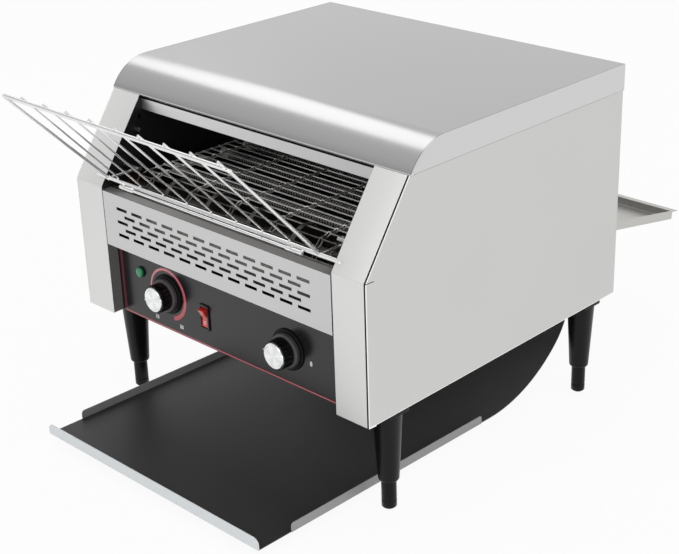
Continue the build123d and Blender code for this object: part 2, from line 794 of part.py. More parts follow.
with BuildPart() as motor_sprocket:
    bar_x((motor_face - motor_shaft_inside, shaft_end), drive_y, motor_z, motor_shaft_radius)
    toothed_wheel(drive_y, motor_z, chain_span, chain_radius, chain_teeth, roller_seat, sprocket_reach,
                  motor_shaft_radius)
write_part(motor_sprocket, "motor_sprocket")

with BuildPart() as chain_wheel:
    toothed_wheel(drive_y, shaft_z, chain_span, chain_radius, chain_teeth, roller_seat, sprocket_reach,
                  shaft_radius)
    hub = (chain_span[0] - 4, chain_span[0])
    bar_x(hub, drive_y, shaft_z, shaft_radius + 4)
    bar_x(hub, drive_y, shaft_z, shaft_radius, Mode.SUBTRACT)
write_part(chain_wheel, "chain_wheel")

with BuildPart() as drive_chain:
    roller_half = chain_wheel_width / 2 + plate_gap
    chain_middle = (drive_y, (shaft_z + motor_z) / 2)
    for low in (chain_x - roller_half - plate_thick, chain_x + roller_half):
        loop_band(chain_middle, chain_length, chain_radius, plate_height, (low, low + plate_thick), 90)
    with BuildSketch(Plane.YZ.offset(chain_x - roller_half)) as rollers:
        places = loop_places(motor_z, chain_runs, drive_y, chain_radius, chain_pitch, chain_teeth)
        with Locations(*[(across, along) for along, across in places]):
            Circle(roller_radius)
    extrude(rollers.sketch, amount=2 * roller_half)
write_part(drive_chain, "drive_chain")

# ---------------------------------------------------------------- cooling fan
rotor_low = base_top + fan_floor + seat_gap

with BuildPart() as fan_frame:
    fan_span = (base_top, base_top + fan_depth)
    block((fan_x - fan_half, fan_x + fan_half), (fan_y - fan_half, fan_y + fan_half), fan_span)
    bar_z(fan_x, fan_y, fan_span, fan_bore, Mode.SUBTRACT)
    bar_z(fan_x, fan_y, (base_top, base_top + fan_floor), fan_boss)
    for half_x, half_y in ((fan_bore + 1, fan_spoke), (fan_spoke, fan_bore + 1)):
        spoke = (base_top, base_top + fan_spoke)
        block((fan_x - half_x, fan_x + half_x), (fan_y - half_y, fan_y + half_y), spoke)
    bar_z(fan_x, fan_y, (base_top + 1, base_top + fan_floor), fan_pin + fit_gap, Mode.SUBTRACT)
write_part(fan_frame, "fan_frame")

with BuildPart() as fan_rotor:
    bar_z(fan_x, fan_y, (rotor_low, base_top + fan_depth - 2), fan_boss)
    bar_z(fan_x, fan_y, (base_top + 1.5, rotor_low), fan_pin)
    for i in range(blade_count):
        turn = 2 * pi * i / blade_count
        blade_plane = Plane(
            origin=(fan_x, fan_y, rotor_low + blade_height / 2),
            x_dir=(cos(turn), sin(turn), 0),
            z_dir=(-0.8 * sin(turn), 0.8 * cos(turn), 0.6),
        )
        with BuildSketch(blade_plane) as blade:
            with Locations(((fan_boss + fan_bore - blade_tip_gap) / 2, 0)):
                Rectangle(fan_bore - blade_tip_gap - fan_boss + 1, blade_height)
        extrude(blade.sketch, amount=blade_thick / 2, both=True)
write_part(fan_rotor, "fan_rotor")

# ---------------------------------------------------------------- heat switch, speed control, terminals
with BuildPart() as heat_switch:
    switch_span = (panel_back, panel_back + switch_depth)
    switch_z = (knob_z - switch_half, knob_z + switch_half)
    block((heat_x - switch_half, heat_x + switch_half), switch_span, switch_z)
    fillet(heat_switch.edges().filter_by(Axis.Y), radius=3)
    tabs_y = (panel_back + switch_depth * 2 / 3, panel_back + switch_depth * 2 / 3 + tab_thick)
    tab_half = switch_half + tab_reach
    for z in (knob_z - 10, knob_z, knob_z + 10):
        block((heat_x - tab_half, heat_x + tab_half), tabs_y, (z - 2, z + 2))
    bore = (panel_back, panel_back + spindle_inside + 3)
    bar_y(heat_x, bore, knob_z, spindle_radius + fit_gap, Mode.SUBTRACT)
write_part(heat_switch, "heat_switch")

with BuildPart() as speed_pot:
    bar_y(speed_x, (panel_back, panel_back + pot_depth), speed_z, pot_radius)
    for dx in (-5, 0, 5):
        lead_y = (panel_back + 4, panel_back + 4 + tab_thick)
        lead_z = (speed_z - pot_radius - 8, speed_z - pot_radius + 4)
        block((speed_x + dx - 1, speed_x + dx + 1), lead_y, lead_z)
    bore = (panel_back, panel_back + spindle_inside + 1)
    bar_y(speed_x, bore, speed_z, spindle_radius + fit_gap, Mode.SUBTRACT)
write_part(speed_pot, "speed_pot")

with BuildPart() as speed_board:
    board_y = front + board_in
    board_z = base_top + board_lift
    board_top = board_z + board_size[2]
    half_x = board_size[0] / 2
    half_y = board_size[1] / 2
    block((speed_x - half_x, speed_x + half_x), (board_y - half_y, board_y + half_y), (board_z, board_top))
    for x in (speed_x - half_x + board_post_in, speed_x + half_x - board_post_in):
        for y in (board_y - half_y + board_post_in, board_y + half_y - board_post_in):
            bar_z(x, y, (base_top, board_z), board_post)
    bar_z(speed_x + coil_place[0], board_y + coil_place[1], (board_top, board_top + coil_height), coil_radius)
    for size, place in ((sink_size, sink_place), (plug_size, plug_place)):
        with Locations((speed_x + place[0], board_y + place[1], board_top + size[2] / 2)):
            Box(*size)
write_part(speed_board, "speed_board")

with BuildPart() as terminal_block:
    strip_y = front + strip_in
    half_x = strip_size[0] / 2
    strip_x = -wall_in + strip_wall_gap + half_x
    half_y = strip_size[1] / 2
    strip_top = base_top + strip_size[2]
    block((strip_x - half_x, strip_x + half_x), (strip_y - half_y, strip_y + half_y), (base_top, strip_top))
    with BuildSketch(Plane.XY.offset(strip_top)) as screw_wells:
        with Locations((strip_x, strip_y)):
            with GridLocations(strip_size[0] / strip_poles, half_y, strip_poles, 2):
                Circle(2.2)
    extrude(screw_wells.sketch, amount=-10, mode=Mode.SUBTRACT)
write_part(terminal_block, "terminal_block")

# ---------------------------------------------------------------- knobs
collar_face = panel_y - collar_depth
knob_start = collar_face - seat_gap
knob_end = panel_y - knob_face + cap_disc_depth

with BuildPart() as knob_collars:
    for x, z in knob_places:
        bar_y(x, (collar_face, panel_y), z, collar_radius)
    chamfer(knob_collars.faces().group_by(Axis.Y)[0].edges(), length=1.0)
    for x, z in knob_places:
        bar_y(x, (collar_face, panel_y), z, spindle_radius + seat_gap, Mode.SUBTRACT)
write_part(knob_collars, "knob_collars")

for name, (x, z) in zip(("heat_knob", "speed_knob"), knob_places):
    with BuildPart() as knob:
        grip_y = knob_start - knob_base_depth
        bar_y(x, (grip_y, knob_start), z, knob_base_radius)
        with BuildSketch(Plane.XZ.offset(-grip_y)) as grip:
            with Locations((x, z)):
                Circle(knob_grip_radius)
                with PolarLocations(knob_grip_radius + flute_radius / 2, knob_flutes):
                    Circle(flute_radius, mode=Mode.SUBTRACT)
        extrude(grip.sketch, amount=grip_y - knob_end, taper=2)
        bar_y(x, (knob_start, panel_back + spindle_inside), z, spindle_radius)
    write_part(knob, name)

    with BuildPart() as knob_cap:
        bar_y(x, (knob_end - cap_disc_depth, knob_end), z, cap_disc_radius)
        fillet(knob_cap.faces().sort_by(Axis.Y)[0].edges(), radius=cap_disc_depth / 2)
    write_part(knob_cap, name + "_cap")

# ---------------------------------------------------------------- rocker switch and pilot lamp
rocker_y = panel_y + rocker_pivot_in
well_half = rocker_half - seat_gap - rocker_wall / 2
button_half = well_half - seat_gap
button_height = rocker_half_height - 2.6
button_front = rocker_pivot_in + rocker_rim - 1.0

with BuildPart() as rocker_frame:
    frame_half = rocker_frame_size[0] / 2
    frame_height = rocker_frame_size[1] / 2
    rim_z = (rocker_z - frame_height, rocker_z + frame_height)
    block((rocker_x - frame_half, rocker_x + frame_half), (panel_y - rocker_rim, panel_y), rim_z)
    fillet(rocker_frame.edges().filter_by(Axis.Y), radius=1.2)
    body_half = rocker_half - slip_gap
    body_z = (rocker_z - rocker_half_height + slip_gap, rocker_z + rocker_half_height - slip_gap)
    block((rocker_x - body_half, rocker_x + body_half), (panel_y, panel_back + rocker_body_depth), body_z)
    well_z = (rocker_z - rocker_half_height + 1.2, rocker_z + rocker_half_height - 1.2)
    well_y = (panel_y - rocker_rim, panel_y + 2.5 * rocker_pivot_in)
    block((rocker_x - well_half, rocker_x + well_half), well_y, well_z, Mode.SUBTRACT)
    cross = (rocker_x - body_half, rocker_x + body_half)
    bar_x(cross, rocker_y, rocker_z, rocker_pin_radius + fit_gap, Mode.SUBTRACT)
write_part(rocker_frame, "rocker_frame")

with BuildPart() as rocker_button:
    rest = radians(rocker_swing)
    rise = button_height * tan(rest)
    button_side = Plane(
        origin=(rocker_x - button_half, rocker_y, rocker_z),
        x_dir=(0, cos(rest), sin(rest)),
        z_dir=(1, 0, 0),
    )
    with BuildSketch(button_side) as rocker_profile:
        with BuildLine():
            Polyline(
                (-button_front - rise, -button_height),
                (-button_front, 0),
                (-button_front - rise, button_height),
                (2.0, button_height),
                (rocker_pivot_in, 2.0),
                (rocker_pivot_in, -2.0),
                (2.0, -button_height),
                close=True,
            )
        make_face()
    extrude(rocker_profile.sketch, amount=2 * button_half)
    pin_half = button_half + 2 * seat_gap
    bar_x((rocker_x - pin_half, rocker_x + pin_half), rocker_y, rocker_z, rocker_pin_radius)
write_part(rocker_button, "rocker_button")

with BuildPart() as pilot_lens:
    lens_back = panel_y - lamp_rim
    bar_y(lamp_x, (lens_back - lamp_radius / 2, lens_back), lamp_z, lamp_radius - lamp_wall)
    fillet(pilot_lens.faces().sort_by(Axis.Y)[0].edges(), radius=0.4 * lamp_radius)
write_part(pilot_lens, "pilot_lens")

with BuildPart() as pilot_body:
    bar_y(lamp_x, (panel_y - lamp_rim, panel_y), lamp_z, lamp_radius)
    bar_y(lamp_x, (panel_y, panel_back + lamp_depth), lamp_z, lamp_radius - lamp_wall - fit_gap)
    nut_y(lamp_x, (panel_back, panel_back + 3), lamp_z, lamp_radius + 2.5)
write_part(pilot_body, "pilot_body")

# ---------------------------------------------------------------- loading rack
rack_half_high = opening_half - rack_margin
rack_half_low = rack_half_high - rack_taper
rod_half = opening_half + rod_overlap
stop_half = rack_half_low - stop_bar_margin
wire_lift = rod_radius + rack_wire_radius
stop_y = rod_y - stop_bar_out
stop_z = rod_z - stop_bar_drop


def on_rack(along, lift=0.0):
    """A side-view place on the rack, measured from the rod."""
    y = rod_y - along * rack_cos + lift * rack_sin
    return y, rod_z + along * rack_sin + lift * rack_cos


with BuildPart() as rack_frame:
    bar_x((-rod_half, rod_half), rod_y, rod_z, rod_radius)
    far = on_rack(rack_length, rod_radius - frame_wire_radius)
    arm_end = rod_y + arm_length
    side_run = [(rack_half_high, *far), (rack_half_low, rod_y, rod_z), (rack_half_low, arm_end, rod_z)]
    other_run = [(-x, y, z) for x, y, z in side_run[::-1]]
    wire(other_run + side_run, frame_wire_radius, rack_bend)
    second = on_rack(rack_length - second_bar_back, rod_radius - second_bar_radius)
    bar_x((-rack_half_high, rack_half_high), *second, second_bar_radius)
    bar_x((-stop_half, stop_half), stop_y, stop_z, stop_bar_radius)
    for side in (-1, 1):
        sleeve = sorted((side * stop_half, side * (stop_half - sleeve_length)))
        bar_x(sleeve, stop_y, stop_z, stop_bar_radius + sleeve_wall)
        tab = [(stop_y, stop_z - 1), (rod_y, rod_z - 1), (rod_y, rod_z + 1), (stop_y, stop_z + 1)]
        prism_x(tab, (sleeve[0] + 2, sleeve[1] - 2))
write_part(rack_frame, "rack_frame")

with BuildPart() as rack_wires:
    for i in range(rack_wire_count):
        x = (i - (rack_wire_count - 1) / 2) * rack_wire_pitch
        start = on_rack(-nub_length, wire_lift)
        with BuildSketch(Plane(origin=(x, *start), z_dir=(0, -rack_cos, rack_sin))) as section:
            Circle(rack_wire_radius)
        extrude(section.sketch, amount=rack_length + 2 * nub_length)
write_part(rack_wires, "rack_wires")

with BuildPart() as rack_pins:
    stop_pin_y = rod_y + arm_length - pin_back
    stop_pin_z = rod_z + frame_wire_radius + seat_gap + pin_radius
    for side in (-1, 1):
        bar_x((side * (wall_in - pin_length), side * wall_in), stop_pin_y, stop_pin_z, pin_radius)
        spare = (side * (wall_in - spare_pin_length), side * wall_in)
        bar_x(spare, front + spare_pin[0], fold_z + spare_pin[1], pin_radius)
write_part(rack_pins, "rack_pins")

# ---------------------------------------------------------------- toast chute
chute_slope = -radians(chute_fall)
chute_lip_y = front - chute_reach
chute_head = bottom_z - chute_head_gap
steep = radians(chute_bend) + chute_slope
chute_run = body_depth + chute_reach - chute_back_room
chute_low_run = chute_low_radius * (sin(steep) - sin(chute_slope))
chute_low_rise = chute_low_radius * (cos(chute_slope) - cos(steep))
flat_fall = (chute_run - chute_low_run) * tan(chute_slope)
chute_high_radius = (chute_head - chute_upright - chute_front_z - flat_fall - chute_low_rise) / cos(steep)
chute_turn_y = chute_lip_y + chute_run - chute_low_run - chute_high_radius * (1 - sin(steep))


def chute_floor(y):
    """Height of the flat floor's underside."""
    return chute_front_z - chute_sheet / 2 + (y - chute_lip_y) * tan(chute_slope)


with BuildPart() as toast_chute:
    floor_half = chute_half - chute_sheet
    turn_z = chute_floor(chute_turn_y) + chute_sheet / 2
    with BuildSketch(Plane.YZ.offset(-floor_half)) as chute_side:
        with BuildLine():
            start_y = chute_lip_y + chute_sheet * (1 - sin(chute_slope) / 2)
            flat = Line((start_y, chute_floor(start_y) + chute_sheet / 2), (chute_turn_y, turn_z))
            low_curve = JernArc(flat @ 1, flat % 1, chute_low_radius, chute_bend)
            high_curve = JernArc(low_curve @ 1, low_curve % 1, chute_high_radius, 90 - degrees(steep))
            Line(high_curve @ 1, ((high_curve @ 1).X, chute_head))
        trace(line_width=chute_sheet)
    extrude(chute_side.sketch, amount=2 * floor_half)
    ear_y = chute_lip_y + chute_run + chute_sheet / 2
    for side in (-1, 1):
        ear_x = (side * (chute_half + ear_reach - ear_width - chute_margin), side * (chute_half + ear_reach))
        ear_z = (chute_head - ear_drop, chute_head - ear_drop + ear_thick)
        block(ear_x, (ear_y - slip_gap, ear_y + ear_depth), ear_z)
write_part(toast_chute, "toast_chute")

with BuildPart() as chute_edging:
    lip_low = chute_floor(chute_lip_y)
    with BuildSketch(Plane.XZ.offset(-chute_lip_y)) as lip:
        with Locations((0, lip_low + lip_height / 2)):
            Rectangle(2 * chute_half, lip_height)
        fillet(lip.vertices().group_by(Axis.Y)[-1], radius=lip_corner)
    extrude(lip.sketch, amount=-chute_sheet)
    ends = (front - flange_front, chute_turn_y - flange_end)
    for side in (-1, 1):
        inner = min(side * chute_half, side * (chute_half - chute_sheet))
        with BuildSketch(Plane.YZ.offset(inner)) as flange:
            with BuildLine():
                low_edge = [(y, chute_floor(y)) for y in ends]
                high_edge = [(y, z + flange_height) for y, z in low_edge[::-1]]
                Polyline(*low_edge, *high_edge, close=True)
            make_face()
            fillet(flange.vertices().sort_by(Axis.Y)[-2:], radius=flange_corner)
        extrude(flange.sketch, amount=chute_sheet)
write_part(chute_edging, "chute_edging")

with BuildPart() as chute_rails:
    rail_y = (front + rail_in, back - 1)
    rail_low = chute_head - ear_drop - seat_gap
    for side in (-1, 1):
        inner = side * (chute_half + rail_gap)
        outer = side * (chute_half + rail_gap + rail_width)
        block((inner, outer), rail_y, (rail_low - thick_sheet, rail_low))
        block((outer - side * thick_sheet, outer), rail_y, (rail_low, bottom_z))
        block((inner, outer), rail_y, (bottom_z - thick_sheet, bottom_z))
write_part(chute_rails, "chute_rails")

# ---------------------------------------------------------------- legs and feet
foot_top = leg_low_z + foot_inside
stud_top = foot_top + stud_length

with BuildPart() as legs:
    for name, x, y in leg_places:
        with BuildSketch(Plane.XZ.offset(-y)) as half_leg:
            with BuildLine():
                Polyline(
                    (x, leg_low_z),
                    (x, bottom_z),
                    (x + leg_top_radius, bottom_z),
                    (x + leg_low_radius, leg_low_z + leg_round),
                    (x + leg_low_radius - leg_round, leg_low_z),
                    close=True,
                )
            make_face()
        revolve(half_leg.sketch, axis=Axis((x, y, 0), (0, 0, 1)))
        flange_x = (x - leg_flange_half, x + leg_flange_half)
        block(flange_x, (y - leg_flange_half, y + leg_flange_half), (bottom_z - leg_flange, bottom_z))
        pocket = (leg_low_z, foot_top + foot_travel + 1)
        bar_z(x, y, pocket, foot_radius + seat_gap, Mode.SUBTRACT)
        bar_z(x, y, (leg_low_z, stud_top + foot_travel + 1), stud_radius + fit_gap, Mode.SUBTRACT)
    for x, y in bolt_places:
        bar_z(x, y, (bottom_z - leg_bolt_depth, bottom_z), leg_bolt_radius, Mode.SUBTRACT)
write_part(legs, "legs")

with BuildPart() as leg_bolts:
    for x, y in bolt_places:
        bar_z(x, y, (bottom_z - leg_bolt_depth, base_top), leg_bolt_radius - fit_gap)
        bar_z(x, y, (base_top, base_top + bolt_head), leg_bolt_radius * 1.8)
write_part(leg_bolts, "leg_bolts")

for name, x, y in leg_places:
    with BuildPart() as foot:
        bar_z(x, y, (0, foot_top), foot_radius)
        chamfer(foot.faces().sort_by(Axis.Z)[0].edges(), length=foot_chamfer)
        bar_z(x, y, (foot_top, stud_top), stud_radius)
    write_part(foot, name)
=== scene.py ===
import json
from math import asin, atan2, cos, pi, radians, sin, tan

import bmesh
import bpy
from mathutils import Matrix, Vector


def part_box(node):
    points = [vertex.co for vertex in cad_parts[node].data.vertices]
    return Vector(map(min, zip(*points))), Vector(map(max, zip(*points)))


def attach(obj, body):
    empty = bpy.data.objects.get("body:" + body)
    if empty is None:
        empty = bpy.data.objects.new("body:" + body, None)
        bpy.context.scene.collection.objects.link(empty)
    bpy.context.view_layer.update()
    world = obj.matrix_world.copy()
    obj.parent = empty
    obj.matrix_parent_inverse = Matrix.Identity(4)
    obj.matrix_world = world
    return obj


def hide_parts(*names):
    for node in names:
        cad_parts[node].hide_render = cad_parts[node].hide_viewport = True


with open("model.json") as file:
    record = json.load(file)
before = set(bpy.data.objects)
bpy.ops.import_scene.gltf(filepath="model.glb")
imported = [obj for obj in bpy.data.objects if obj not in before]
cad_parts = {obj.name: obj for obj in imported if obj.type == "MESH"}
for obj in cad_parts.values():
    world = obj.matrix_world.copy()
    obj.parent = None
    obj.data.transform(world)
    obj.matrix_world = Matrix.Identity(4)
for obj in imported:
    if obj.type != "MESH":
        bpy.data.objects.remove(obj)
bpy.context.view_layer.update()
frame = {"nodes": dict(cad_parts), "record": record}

# ---------------------------------------------------------------- sizes, in metres
MM = 0.001
sheet = 0.8 * MM

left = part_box("left_side_panel")
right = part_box("right_side_panel")
left_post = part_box("left_front_post")
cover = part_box("top_cover")
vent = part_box("vent_panel")
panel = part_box("control_panel")
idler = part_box("idler_shaft")
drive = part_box("drive_shaft")
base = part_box("base_plate")

front = left[0].y
back = left[1].y
half_width = right[1].x
bottom_z = left[0].z
base_top = base[1].z
eave_z = cover[0].z
lintel_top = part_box("opening_lintel")[1].z
top_z = cover[1].z
fold_z = bottom_z + 161.5 * MM
eave_y = front + 66.0 * MM
post_outer = -left_post[0].x
opening_half = -left_post[1].x
slant = atan2(eave_z - fold_z, eave_y - front)
shaft_z = (idler[0].z + idler[1].z) / 2
idler_y = (idler[0].y + idler[1].y) / 2
drive_y = (drive[0].y + drive[1].y) / 2
panel_y = panel[0].y


def middle(node):
    """The middle of a node's box."""
    low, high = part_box(node)
    return (Vector(low) + Vector(high)) / 2


vent_low, vent_high = vent[0].z, vent[1].z
heat_x, heat_z = middle("heat_knob_cap").xz
speed_x, speed_z = middle("speed_knob_cap").xz
rocker_x, rocker_z = middle("rocker_frame").xz
lamp_x, lamp_z = middle("pilot_lens").xz
chute_lip_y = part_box("chute_edging")[0].y
chute_wall_x = -178.6 * MM
foot_nodes = [end + side + "_foot" for end in ("front_", "rear_") for side in ("left", "right")]
upper_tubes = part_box("upper_heater_tubes")
tube_radius = (upper_tubes[1].z - upper_tubes[0].z) / 2
tube_half = upper_tubes[1].x
tube_first = upper_tubes[0].y + tube_radius
tube_pitch = (upper_tubes[1].y - upper_tubes[0].y - 2 * tube_radius) / 3
upper_tube_z = middle("upper_heater_tubes").z
tube_ys = [tube_first + tube_pitch * i for i in range(4)]

# ---------------------------------------------------------------- camera
camera_place = Vector((1131.03, -1194.96, 879.61)) * MM
camera_yaw = radians(43.33)
camera_pitch = radians(23.79)
camera_roll = radians(-1.24)


def placed(name, data):
    """A new object, put in the scene."""
    thing = bpy.data.objects.new(name, data)
    bpy.context.scene.collection.objects.link(thing)
    return thing


def stand_camera():
    """The camera: where it stands, how it is turned, its lens and its small shift."""
    forward = Vector((-sin(camera_yaw), cos(camera_yaw), 0))
    ahead = cos(camera_pitch) * forward - Vector((0, 0, sin(camera_pitch)))
    level = Vector((cos(camera_yaw), sin(camera_yaw), 0))
    upright = level.cross(ahead)
    side = cos(camera_roll) * level + sin(camera_roll) * upright
    top = cos(camera_roll) * upright - sin(camera_roll) * level
    camera = placed("camera", bpy.data.cameras.new("camera"))
    camera.data.lens = 77.64
    camera.data.sensor_width = 36
    camera.data.shift_x = -0.0620
    camera.data.shift_y = -0.0214
    camera.data.clip_start = 0.05
    turn = Matrix((side, top, -ahead)).transposed().to_4x4()
    camera.matrix_world = Matrix.Translation(camera_place) @ turn
    bpy.context.scene.camera = camera


stand_camera()
bpy.context.scene.view_settings.view_transform = "Standard"


# ---------------------------------------------------------------- shader helpers
class Socket:
    """A shader value that takes part in sums; each operator adds one Math node."""

    def __init__(self, nodes, output):
        self.nodes = nodes
        self.output = output

    def math(self, operation, *others):
        values = dict(enumerate((self, *others)))
        return self.nodes.add("ShaderNodeMath", {"operation": operation}, values)

    def __add__(self, other):
        return self.math("ADD", other)

    def __sub__(self, other):
        return self.math("SUBTRACT", other)

    def __rsub__(self, other):
        return self.nodes.add("ShaderNodeMath", {"operation": "SUBTRACT"}, {0: other, 1: self})

    def __mul__(self, other):
        return self.math("MULTIPLY", other)

    def __lt__(self, other):
        return self.math("LESS_THAN", other)

    def __gt__(self, other):
        return self.math("GREATER_THAN", other)

    def __abs__(self):
        return self.math("ABSOLUTE")

    __radd__ = __add__
    __rmul__ = __mul__


class Nodes:
    """A node tree, with one way to add a node."""

    def __init__(self, tree):
        self.tree = tree

    def add(self, kind, settings=None, values=None, output=0):
        node = self.tree.nodes.new(kind)
        for name, value in (settings or {}).items():
            setattr(node, name, value)
        for name, value in (values or {}).items():
            self.feed(node.inputs[name], value)
        return Socket(self, node.outputs[output])

    def feed(self, socket, value):
        if isinstance(value, Socket):
            self.tree.links.new(value.output, socket)
        else:
            socket.default_value = value

    def ramp(self, factor, low, high, first=0.0, second=1.0):
        values = {"Value": factor, 1: low, 2: high, 3: first, 4: second}
        return self.add("ShaderNodeMapRange", {"clamp": True}, values)

    def facing(self, way, aim):
        settings = {"operation": "DOT_PRODUCT"}
        return self.add("ShaderNodeVectorMath", settings, {0: way, 1: aim}, "Value")


def shade(code):
    """A linear colour from its screen code."""
    parts = [int(code[i:i + 2], 16) / 255 for i in (0, 2, 4)]
    return tuple(p / 12.92 if p <= 0.04045 else ((p + 0.055) / 1.055) ** 2.4 for p in parts)


def paint(colour, share=1.0):
    """A colour for a shader socket, darkened to a share of itself."""
    return tuple(c * share for c in colour) + (1.0,)


def tint(code):
    """A colour for a shader socket, from its screen code."""
    return paint(shade(code))


class Finish(Nodes):
    """A material: one Principled shader, with patterns on Object coordinates."""

    def __init__(self, name, colour, roughness, **fixed):
        self.name = name
        self.material = bpy.data.materials.new(name)
        self.material.use_nodes = True
        super().__init__(self.material.node_tree)
        self.shader = self.tree.nodes["Principled BSDF"]
        self.place = self.add("ShaderNodeTexCoord", output="Object")
        self.set("Base Color", (*colour, 1))
        self.set("Roughness", roughness)
        for socket, value in fixed.items():
            self.set(socket.replace("_", " ").title().replace("Ior", "IOR"), value)

    def set(self, socket, value):
        self.feed(self.shader.inputs[socket], value)

    def axis(self, name):
        return self.add("ShaderNodeSeparateXYZ", values={"Vector": self.place}, output=name)

    def axes(self, names):
        return [self.axis(name) for name in names]

    def noise(self, scale, stretch=(1, 1, 1), detail=2.0):
        place = self.add("ShaderNodeMapping", values={"Vector": self.place, "Scale": stretch})
        values = {"Vector": place, "Scale": scale, "Detail": detail}
        return self.add("ShaderNodeTexNoise", values=values)

    def mix(self, factor, first, second):
        values = {0: factor, 6: first, 7: second}
        return self.add("ShaderNodeMix", {"data_type": "RGBA"}, values, output=2)

    def bump(self, height, strength, distance=0.1 * MM):
        values = {"Height": height, "Strength": strength, "Distance": distance}
        self.set("Normal", self.add("ShaderNodeBump", values=values))


def sheet_metal(name, colour, roughness, along, metallic=1.0, deep=0.96, grain=0.1):
    """Satin sheet metal: fine lines along one direction, a slow drift of tone, faint handling."""
    finish = Finish(name, colour, roughness, metallic=metallic)
    stretch = [1.0, 1.0, 1.0]
    stretch["XYZ".index(along)] = 0.012
    lines = finish.noise(2600, stretch, 3.0)
    drift = finish.noise(5, detail=1.0)
    cloud = finish.noise(60, detail=3.0)
    tone = finish.ramp(drift * 0.55 + cloud * 0.1 + lines * 0.35, 0.3, 0.7)
    finish.tone = finish.mix(tone, paint(colour, deep), paint(colour))
    finish.set("Base Color", finish.tone)
    finish.set("Roughness", roughness - 0.03 + lines * 0.05 + cloud * 0.01)
    finish.bump(lines, grain, 0.05 * MM)
    return finish


def plain_metal(name, colour, roughness, metallic=1.0, scale=300, bump=0.1):
    """Cast, drawn or plated metal with a fine even texture."""
    finish = Finish(name, colour, roughness, metallic=metallic)
    speck = finish.noise(scale, detail=4.0)
    drift = finish.noise(scale / 12)
    finish.tone = finish.mix(drift, paint(colour, 0.8), paint(colour))
    finish.set("Base Color", finish.tone)
    finish.set("Roughness", roughness - 0.04 + speck * 0.08)
    if bump:
        finish.bump(speck, bump, 0.05 * MM)
    return finish


def painted_sheet(name):
    """Black painted sheet, with painted light making it greyer towards the chute's rear and on its
    left wall.
    """
    finish = moulded(name, shade("2b2b2b"), 0.42, scale=1500, specular_ior_level=0.4)
    x, y = finish.axes("XY")
    # painted light: paler towards the rear, where the body shades the chute, and on the left wall
    chute_painted_light = finish.ramp(y, -0.30, 0.0).math("MAXIMUM", x < chute_wall_x)
    finish.set("Base Color", finish.mix(chute_painted_light, finish.tone, tint("545454")))
    return finish


def bend_shaded_wire(name):
    """Drawn belt wire: bright on its flat runs, with painted shade where it bends round the front
    wheels.
    """
    finish = plain_metal(name, shade("f6f4f2"), 0.2, metallic=0.72, scale=500)
    # painted shade: the strands turn darker and mottled where the belt bends round the front wheels
    bend = finish.ramp(finish.axis("Y"), idler_y - 8 * MM, idler_y + 14 * MM)
    dull = finish.ramp(finish.noise(40), 0.35, 0.65)
    bend_painted_shade = finish.mix(dull, tint("4a4642"), tint("68645e"))
    finish.set("Base Color", finish.mix(bend, bend_painted_shade, finish.tone))
    return finish


def moulded(name, colour, roughness, scale=900, bump=0.15, **fixed):
    """Moulded plastic, rubber or baked paint: fine texture and slight unevenness."""
    finish = Finish(name, colour, roughness, **fixed)
    speck = finish.noise(scale, detail=3.0)
    drift = finish.noise(scale / 30)
    finish.tone = finish.mix(drift, paint(colour, 0.82), paint(colour))
    finish.set("Base Color", finish.tone)
    finish.set("Roughness", roughness - 0.05 + speck * 0.1)
    finish.bump(speck, bump, 0.06 * MM)
    return finish


def printed_panel(name):
    """Glossy black panel, painted darker to its right as shade, with a thin red border and a red
    heat arc that grows round the knob.
    """
    finish = moulded(name, shade("17151a"), 0.24, scale=1400, bump=0.03)
    x, z = finish.axes("XZ")
    # painted shade: the panel darkens towards its right
    ground = finish.mix(finish.ramp(x, 0.06, 0.18), finish.tone, tint("0c0b0d"))
    border_half, border_middle, border_reach = 180.5 * MM, bottom_z + 41.75 * MM, 40.25 * MM
    side_line, line = 2.3 * MM, 0.75 * MM
    height = abs(z - border_middle)
    on_sides = (abs(abs(x) - border_half) < side_line) * (height < border_reach + line)
    on_ends = (abs(height - border_reach) < line) * (abs(x) < border_half + line)
    across, up = x - heat_x, z - heat_z
    turn = (0 - across).math("ARCTAN2", 0 - up)
    swept = finish.ramp(turn.math("FLOORED_MODULO", 2 * pi), radians(78), radians(345))
    radius = (across * across + up * up).math("SQRT")
    arc_radius, thin, growth = 29.9 * MM, 1.1 * MM, 1.4 * MM
    inside = (swept > 0.001) * (swept < 0.999)
    arc = (abs(radius - arc_radius) < thin + swept * growth) * inside
    warm = finish.mix(swept, tint("d88c94"), tint("c6464c"))
    # the border's side lines are real print, darkened with painted shade
    sided = finish.mix(on_sides, ground, tint("6a2e33"))
    lined = finish.mix(on_ends, sided, tint("c25c66"))
    finish.set("Base Color", finish.mix(arc, lined, warm))
    return finish


def quartz_tube(name, height):
    """Milky quartz tube with the wound wire showing through as slanting stripes."""
    finish = Finish(name, shade("8a8580"), 0.2, coat_weight=0.4, coat_roughness=0.08)
    x, y, z = finish.axes("XYZ")
    coil_pitch = 4.2 * MM
    half_pitch = tube_pitch / 2
    beside = (y - (tube_first - half_pitch)).math("FLOORED_MODULO", tube_pitch) - half_pitch
    turn = (z - height).math("ARCTAN2", beside)
    coil = (x * (2 * pi / coil_pitch) + turn).math("SINE")
    wound = finish.ramp(coil, -0.1, 0.5)
    ends = finish.ramp(abs(x), tube_half - 24 * MM, tube_half - 20 * MM)
    haze = finish.noise(240, detail=3.0)
    glass = finish.mix(haze, tint("8e8c8a"), tint("a8a6a4"))
    finish.set("Base Color", finish.mix(wound * (1 - ends), glass, tint("32302e")))
    finish.bump(haze, 0.05)
    return finish


